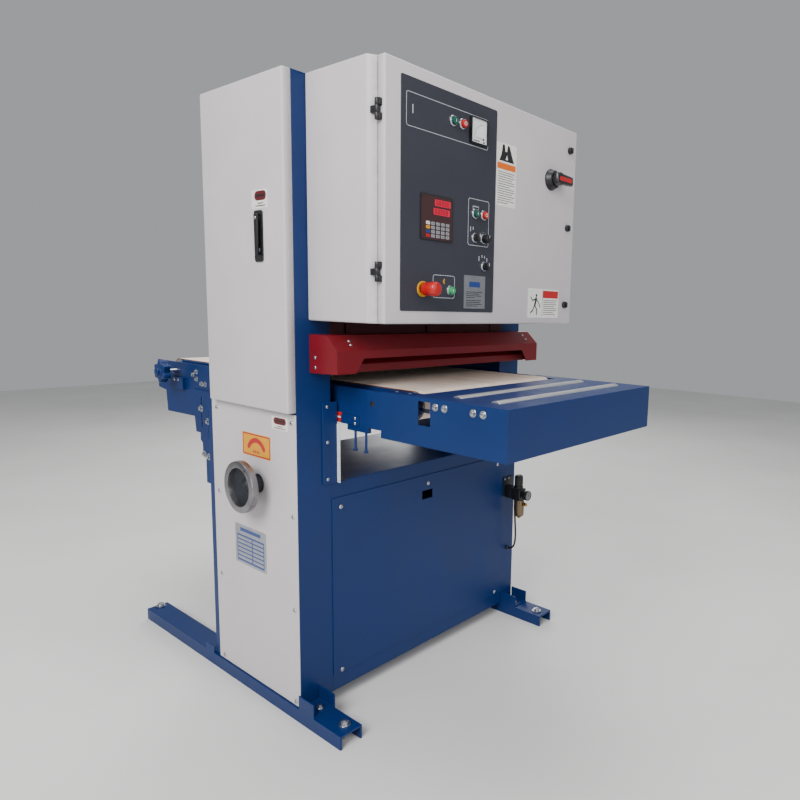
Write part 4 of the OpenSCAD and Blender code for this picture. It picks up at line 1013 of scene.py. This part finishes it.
def panHead(bm, centre, along, radius, height, index=0):
    addTurned(bm, centre, along, [(0, radius), (height * 0.35, radius), (height * 0.8, radius * 0.8),
                                  (height, radius * 0.4), (height, 0)], index=index, steps=24)
    axis = Vector(along)
    spot = Vector(centre) + axis * (height - 0.15)
    wide = radius * 0.5
    if abs(axis.x) > 0.9:
        addPlate(bm, (spot.y - wide, spot.y + wide), (spot.z - 0.7, spot.z + 0.7), 0.2, 0, face="left", at=spot.x,
                 index=index + 1)
        addPlate(bm, (spot.y - 0.7, spot.y + 0.7), (spot.z - wide, spot.z + wide), 0.25, 0, face="left", at=spot.x,
                 index=index + 1)
    elif abs(axis.y) > 0.9:
        addPlate(bm, (spot.x - wide, spot.x + wide), (spot.z - 0.7, spot.z + 0.7), 0.2, 0, at=spot.y, index=index + 1)
        addPlate(bm, (spot.x - 0.7, spot.x + 0.7), (spot.z - wide, spot.z + wide), 0.25, 0, at=spot.y,
                 index=index + 1)


def makeFrameScrews():
    bm = bmesh.new()
    for side in (-1, 1):
        for y in (-439, 764):
            addTurned(bm, (side * 504, y, 2), (0, 0, 1), [(0, 0), (0, 8.5), (42, 8.5), (42, 18.6), (42.6, 19),
                                                          (45.6, 19), (46, 18.6), (46, 0)])
            addHex(bm, (side * 504, y, 0), (0, 0, 1), 12, 9, base=48)
            addTurned(bm, (side * 504, y, 57), (0, 0, 1), [(0, 5.5), (1.6, 5.5), (2, 5), (2, 0)], steps=24)
        addTurned(bm, (side * 504, -318, 49), (0, 0, 1), [(0, 13.2), (1.6, 13.2), (2, 12.8), (2, 0)])
        addHex(bm, (side * 504, -318, 49), (0, 0, 1), 9, 7, base=2)
        for z in (1122, 1151):
            panHead(bm, (side * 493, -299, z), (side, 0, 0), 5.4, 2.9)
    for x, t in ((-426, 0.38), (-428, 0.62), (440, 0.3), (440, 0.62)):   # on the slope of the hood
        panHead(bm, (x, -354 - 48 * t, 1219 - 44 * t), Vector((0, -0.676, 0.737)), 4.6, 2.4)
    for y in (-252, 178):
        for z in (62, 366, 664, 954):
            panHead(bm, (-545, y, z), (-1, 0, 0), 7.4, 3.8)
    for x, z in ((-384, 667), (12, 667), (420, 667), (-384, 108), (420, 108)):
        panHead(bm, (x, -275, z), (0, -1, 0), 7.4, 3.8)
    for z in (766, 884, 996):
        panHead(bm, (-434, -276, z), (0, -1, 0), 5.4, 2.8)
    finishPiece("frameScrewHeads", bm, [zincPlate, blackPlastic], "frame",
                replaces=["frame_screws"])


makeFrameScrews()


# Feed table: rollers, bolts, rods, pointer

# radius, half length, pin radius, reach of the pin on the left
rollers = {
    "idler_roller_rear": (25, 325, 8, 358), "idler_roller_front": (25, 325, 8, 358),
    "tension_roller": (40, 330, 12.5, 345), "drive_roller": (40, 330, 12.5, 389),
}


def makeRollers():
    for node, (radius, half, pin, reach) in rollers.items():
        _, y, z = axisOf(node + "_spin")
        end = high(node).x
        bm = bmesh.new()
        addTurned(bm, (0, y, z), (1, 0, 0), [(-half, pin), (-half, radius - 1), (-half + 1, radius), (half - 1, radius),
                                             (half, radius - 1), (half, pin)], steps=72)
        addTurned(bm, (0, y, z), (1, 0, 0), [(-reach, 0), (-reach, pin - 0.6), (-reach + 0.6, pin), (end - 0.6, pin),
                                             (end, pin - 0.6), (end, 0)], index=1)
        finishPiece(node + "Turned", bm, [groundSteel, zincPlate], node, replaces=[node])


def makeTableDetails():
    side = 389
    bm = bmesh.new()
    for s in (-1, 1):
        addTurned(bm, (s * 362, -690, 1017.2), (0, 1, 0), [(-0.1, 0), (-0.1, 5.4), (0.8, 6.2), (116, 6.2)], steps=32)
        addHex(bm, (s * 362, -676, 1017.2), (0, -1, 0), 9, 8, base=-12)
        for y in (-715, -851):
            for step in (-17, 17):
                addTurned(bm, (s * 394, y + step, 1038), (s, 0, 0), [(0, 10.7), (1.8, 10.7), (2.2, 10.2), (2.2, 0)],
                          steps=32)
                addHex(bm, (s * 394, y + step, 1038), (s, 0, 0), 7.2, 5.7, base=2.1)
    for y in (-510, -565):
        panHead(bm, (-361, y, 1060), (0, 0, 1), 6.2, 3.0)
    for y, z in ((581, 888), (530, 842), (566, 706), (532, 700)):
        addTurned(bm, (-394, y, z), (-1, 0, 0), [(0, 13.7), (1.8, 13.7), (2.2, 13.2), (2.2, 0)], steps=32)
        addHex(bm, (-394, y, z), (-1, 0, 0), 9.2, 7.3, base=2.1)
    for y, z in ((619, 1030), (646, 1016), (619, 1001), (580, 985), (552, 985)):
        addTurned(bm, (-389, y, z), (-1, 0, 0), [(0, 10.7), (1.8, 10.7), (2.2, 10.2), (2.2, 0)], steps=32)
        addHex(bm, (-389, y, z), (-1, 0, 0), 7.2, 5.7, base=2.1)
    # capped hole and two screws of the corner plate
    addTurned(bm, (-394, -439, 1019), (-1, 0, 0), [(0, 9), (0.8, 9), (1.6, 7.5), (1.6, 0)], index=1, steps=32)
    for z in (949, 965):
        panHead(bm, (-side - 4, -356, z), (-1, 0, 0), 5.4, 2.6)
    for y in (745, 776):
        panHead(bm, (-side - 14, y, 989), (-1, 0, 0), 6.0, 3.0)
    finishPiece("tableBolts", bm, [zincPlate, blackPlastic], "table")

    bm = bmesh.new()
    addBlock(bm, (-side - 3.9, -side + 0.2), (-290.4, -261.6), (945.6, 976.4), 0.8)
    addPlate(bm, (-288, -264), (959, 963), 0.3, 0.6, face="left", at=-side - 3.9, index=1, corner=2)
    finishPiece("depthPointer", bm, [redPlastic, whiteInk], "table")


makeRollers()
makeTableDetails()


# Star knob, contact drum, pressure rollers, pulley

def makeStarKnob():
    _, y0, z0 = axisOf("star_knob_turn")
    bm = bmesh.new()
    outline = []
    for k in range(96):
        angle = math.radians(k * 3.75)
        r = 39.5 + 6.3 * math.cos(6 * (angle - math.pi / 2))
        outline.append(bm.verts.new(Vector((-440, y0 + r * math.cos(angle), z0 + r * math.sin(angle))) * mm))
    base = bm.faces.new(outline)
    grown = bmesh.ops.extrude_face_region(bm, geom=[base])["geom"]
    top = [g for g in grown if isinstance(g, bmesh.types.BMVert)]
    bmesh.ops.translate(bm, verts=top, vec=(-30 * mm, 0, 0))
    rim = [e for e in bm.edges if abs(e.verts[0].co.x - e.verts[1].co.x) < 0.1 * mm]
    bmesh.ops.bevel(bm, geom=rim, offset=3 * mm, segments=3, profile=0.5, affect="EDGES", material=-1)
    addTurned(bm, (-470, y0, z0), (-1, 0, 0), [(-2, 22), (2.4, 21), (4, 19), (4, 17), (11, 16), (12, 14.5), (12, 0)])
    addTurned(bm, (-440, y0, z0), (1, 0, 0), [(-2, 0), (-2, 9), (51, 9), (51, 0)], index=1)
    finishPiece("starKnobHead", bm, [blueCoat, zincPlate], "star_knob", replaces=["star_knob"])


def makeHeadRollers():
    bm = bmesh.new()
    c = axisOf("contact_drum_spin")
    addTurned(bm, c, (1, 0, 0), [(-320, 20), (-320, 76), (-319.6, 76.5), (-319.6, 87.8), (-318.6, 88.9), (318.6, 88.9),
                                 (319.6, 87.8), (319.6, 76.5), (320, 76), (320, 20)], steps=96)
    addTurned(bm, c, (1, 0, 0), [(-350, 0), (-350, 19), (-349, 20), (578, 20), (579, 19), (579, 0)], index=1)
    addTurned(bm, c, (1, 0, 0), [(575, 20), (575, 54.6)] + [(578 + k * 3.6 + s, 54.6 - 3 * (s > 0) * (s < 3))
                                                           for k in range(6) for s in (0.4, 1.2, 2.4, 3.2)]
              + [(603, 54.6), (603, 20)], index=1, steps=64)
    finishPiece("contactDrumTurned", bm, [drumRubber, zincPlate], "contact_drum",
                replaces=["contact_drum"])
    bm = bmesh.new()
    motor = axisOf("motor_pulley_spin")
    motor.x = 0
    addTurned(bm, motor, (1, 0, 0), [(398, 0), (398, 19), (606, 19), (607, 18), (607, 0)])
    addTurned(bm, motor, (1, 0, 0), [(575, 19), (575, 74.6), (603, 74.6), (603, 60), (597, 52), (581, 52),
                                             (581, 19)], steps=64)
    finishPiece("motorPulleyTurned", bm, [zincPlate], "motor_pulley", replaces=["motor_pulley"])
    for node in ("pressure_roller_front", "pressure_roller_rear"):
        bm = bmesh.new()
        c = axisOf(node + "_spin")
        addTurned(bm, c, (1, 0, 0), [(-320, 10), (-320, 28), (-318, 30), (318, 30), (320, 28), (320, 10)], steps=64)
        addTurned(bm, c, (1, 0, 0), [(-343, 0), (-343, 9.4), (-342.4, 10), (342.4, 10), (343, 9.4), (343, 0)], index=1)
        finishPiece(node + "Turned", bm, [drumRubber, zincPlate], node, replaces=[node])


makeStarKnob()
makeHeadRollers()
for name in ("upper_roller", "lift_screw_left", "lift_screw_right"):
    for slot in nodes[name].material_slots:
        slot.material = groundSteel
print("turned parts made")


# Air regulator

def makeRegulator():
    x, y, _ = axisOf("regulator_knob_turn")
    bm = bmesh.new()
    addBlock(bm, (x - 30, x + 30), (-276, -272.1), (520, 602), 1.5)
    addBlock(bm, (x - 22, x + 22), (y + 20, -275), (516, 562), 1.5)
    addBlock(bm, (x - 23, x + 23), (y - 23, y + 23), (512, 560), 4.0, segments=3)
    addTurned(bm, (x, y, 559), (0, 0, 1), [(0, 19), (12, 19), (13, 18), (13, 8.1), (2, 8.1)])
    addTurned(bm, (500, -272, 285), (0, -1, 0), [(0, 9), (4, 9), (4, 8), (11, 7.4), (12, 6.6), (12, 4)], steps=32)
    for side, z in ((-23, 594), (4, 594)):
        panHead(bm, (x + side, -276, z), (0, -1, 0), 4.4, 2.4, index=5)
    # bowl in its guard
    addTurned(bm, (x, y - 6, 440), (0, 0, 1), [(0, 0), (0, 13), (3, 17), (8, 19.4), (12, 20), (66, 20), (68, 19),
                                               (72, 19)], index=1)
    addTurned(bm, (x, y - 6, 432), (0, 0, 1), [(0, 0), (0, 4.6), (1, 6), (8, 6)], index=2, steps=24)
    addTurned(bm, (x, y, 497), (0, -1, 0), [(20, 7.5), (34, 7.5), (34, 5.4), (35, 7), (43, 7), (44, 6), (44, 0)],
              index=2, steps=32)
    addHex(bm, (x, y, 497), (0, -1, 0), 9, 8, index=2, base=25)
    # gauge: black case, pale face, pointer
    addTurned(bm, (x, y - 23, 537), (0, -1, 0), [(0, 0), (0, 9), (8, 9), (10, 20), (28, 21), (30, 20), (30, 18.4),
                                                 (28.6, 18.2), (28.6, 0)], steps=64)
    addTurned(bm, (x, y - 51.6, 537), (0, -1, 0), [(0, 18.2), (0.2, 18), (0.2, 0)], index=3, steps=64)
    for k in range(16):
        angle = math.radians(225 - k * 18)
        cx, cz = x + 14.5 * math.cos(angle), 537 + 14.5 * math.sin(angle)
        addPlate(bm, (cx - 0.7, cx + 0.7), (cz - 0.7, cz + 0.7), 0.15, 0, at=y - 51.8, index=4)
    addBlock(bm, (x - 0.6, x + 0.6), (y - 52.3, y - 51.9), (537, 549), index=4)
    addTurned(bm, (x, y - 51.8, 537), (0, -1, 0), [(0, 2), (0.8, 1.6), (0.8, 0)], index=4, steps=16)
    finishPiece("airUnit", bm, [blackPlastic, bronze, brass, gaugeGrey, blackInk, zincPlate, blackPlastic], "frame",
                replaces=["air_regulator"])

    bm = bmesh.new()
    addTurned(bm, (x, y, 562), (0, 0, 1), [(0, 0), (0, 8), (10.6, 8), (10.6, 17), (12, 17.4), (50, 17), (54, 15.6),
                                           (56, 12), (56, 0)])
    for k in range(24):
        angle = math.radians(k * 15)
        cx, cy = x + 17 * math.cos(angle), y + 17 * math.sin(angle)
        addTurned(bm, (cx, cy, 576), (0, 0, 1), [(0, 0), (0, 0.95), (34, 0.95), (35, 0)], steps=8)
    finishPiece("regulatorCap", bm, [blackPlastic], "regulator_knob",
                replaces=["regulator_knob"])


makeRegulator()
print("air unit made")


# Floor and light

def makeFloor():
    # Matt studio paper with a barely uneven tone
    material, tree, shader = startMaterial("studioPaper", 0.9)
    place = addNode(tree, "TexCoord").outputs["Object"]
    tone = addNode(tree, "TexNoise", {"Vector": place, "Scale": 1 / (900 * mm), "Detail": 3.0})
    body = addNode(tree, "ValToRGB", {"Fac": tone.outputs["Fac"]},
                   stops=((0.3, hexColour("#d6d5d3")), (0.7, hexColour("#dedddb"))))
    tree.links.new(body.outputs["Color"], shader.inputs["Base Color"])
    bm = bmesh.new()
    bmesh.ops.create_grid(bm, x_segments=4, y_segments=4, size=9)
    mesh = bpy.data.meshes.new("floor")
    bm.to_mesh(mesh)
    bm.free()
    mesh.materials.append(material)
    floor = bpy.data.objects.new("floor", mesh)
    scene.collection.objects.link(floor)


lamps = {
    "key": {"place": (-4.2, -1.6, 3.8), "target": (0, 0, 1.0), "size": 2.6, "power": 300},
    "fill": {"place": (-0.6, -4.6, 2.6), "target": (0, 0, 0.9), "size": 3.2, "power": 85},
    "top": {"place": (0.5, 0.3, 4.6), "target": (0, 0, 0.8), "size": 3.0, "power": 130},
    "back": {"place": (3.6, 3.4, 3.0), "target": (0, 0, 1.0), "size": 2.4, "power": 110},
}


def hangLamps():
    for name, lamp in lamps.items():
        data = bpy.data.lights.new(name, "AREA")
        data.shape = "SQUARE"
        data.size = lamp["size"]
        data.energy = lamp["power"]
        light = bpy.data.objects.new(name, data)
        place = Vector(lamp["place"])
        aim = (Vector(lamp["target"]) - place).to_track_quat("-Z", "Y").to_matrix().to_4x4()
        light.matrix_world = Matrix.Translation(place) @ aim
        scene.collection.objects.link(light)
    world = bpy.data.worlds.new("studio")
    world.use_nodes = True
    sky = world.node_tree.nodes["Background"]
    sky.inputs["Color"].default_value = hexColour("#dfe1e4")
    sky.inputs["Strength"].default_value = 0.5
    scene.world = world


makeFloor()
hangLamps()

print("room lit")
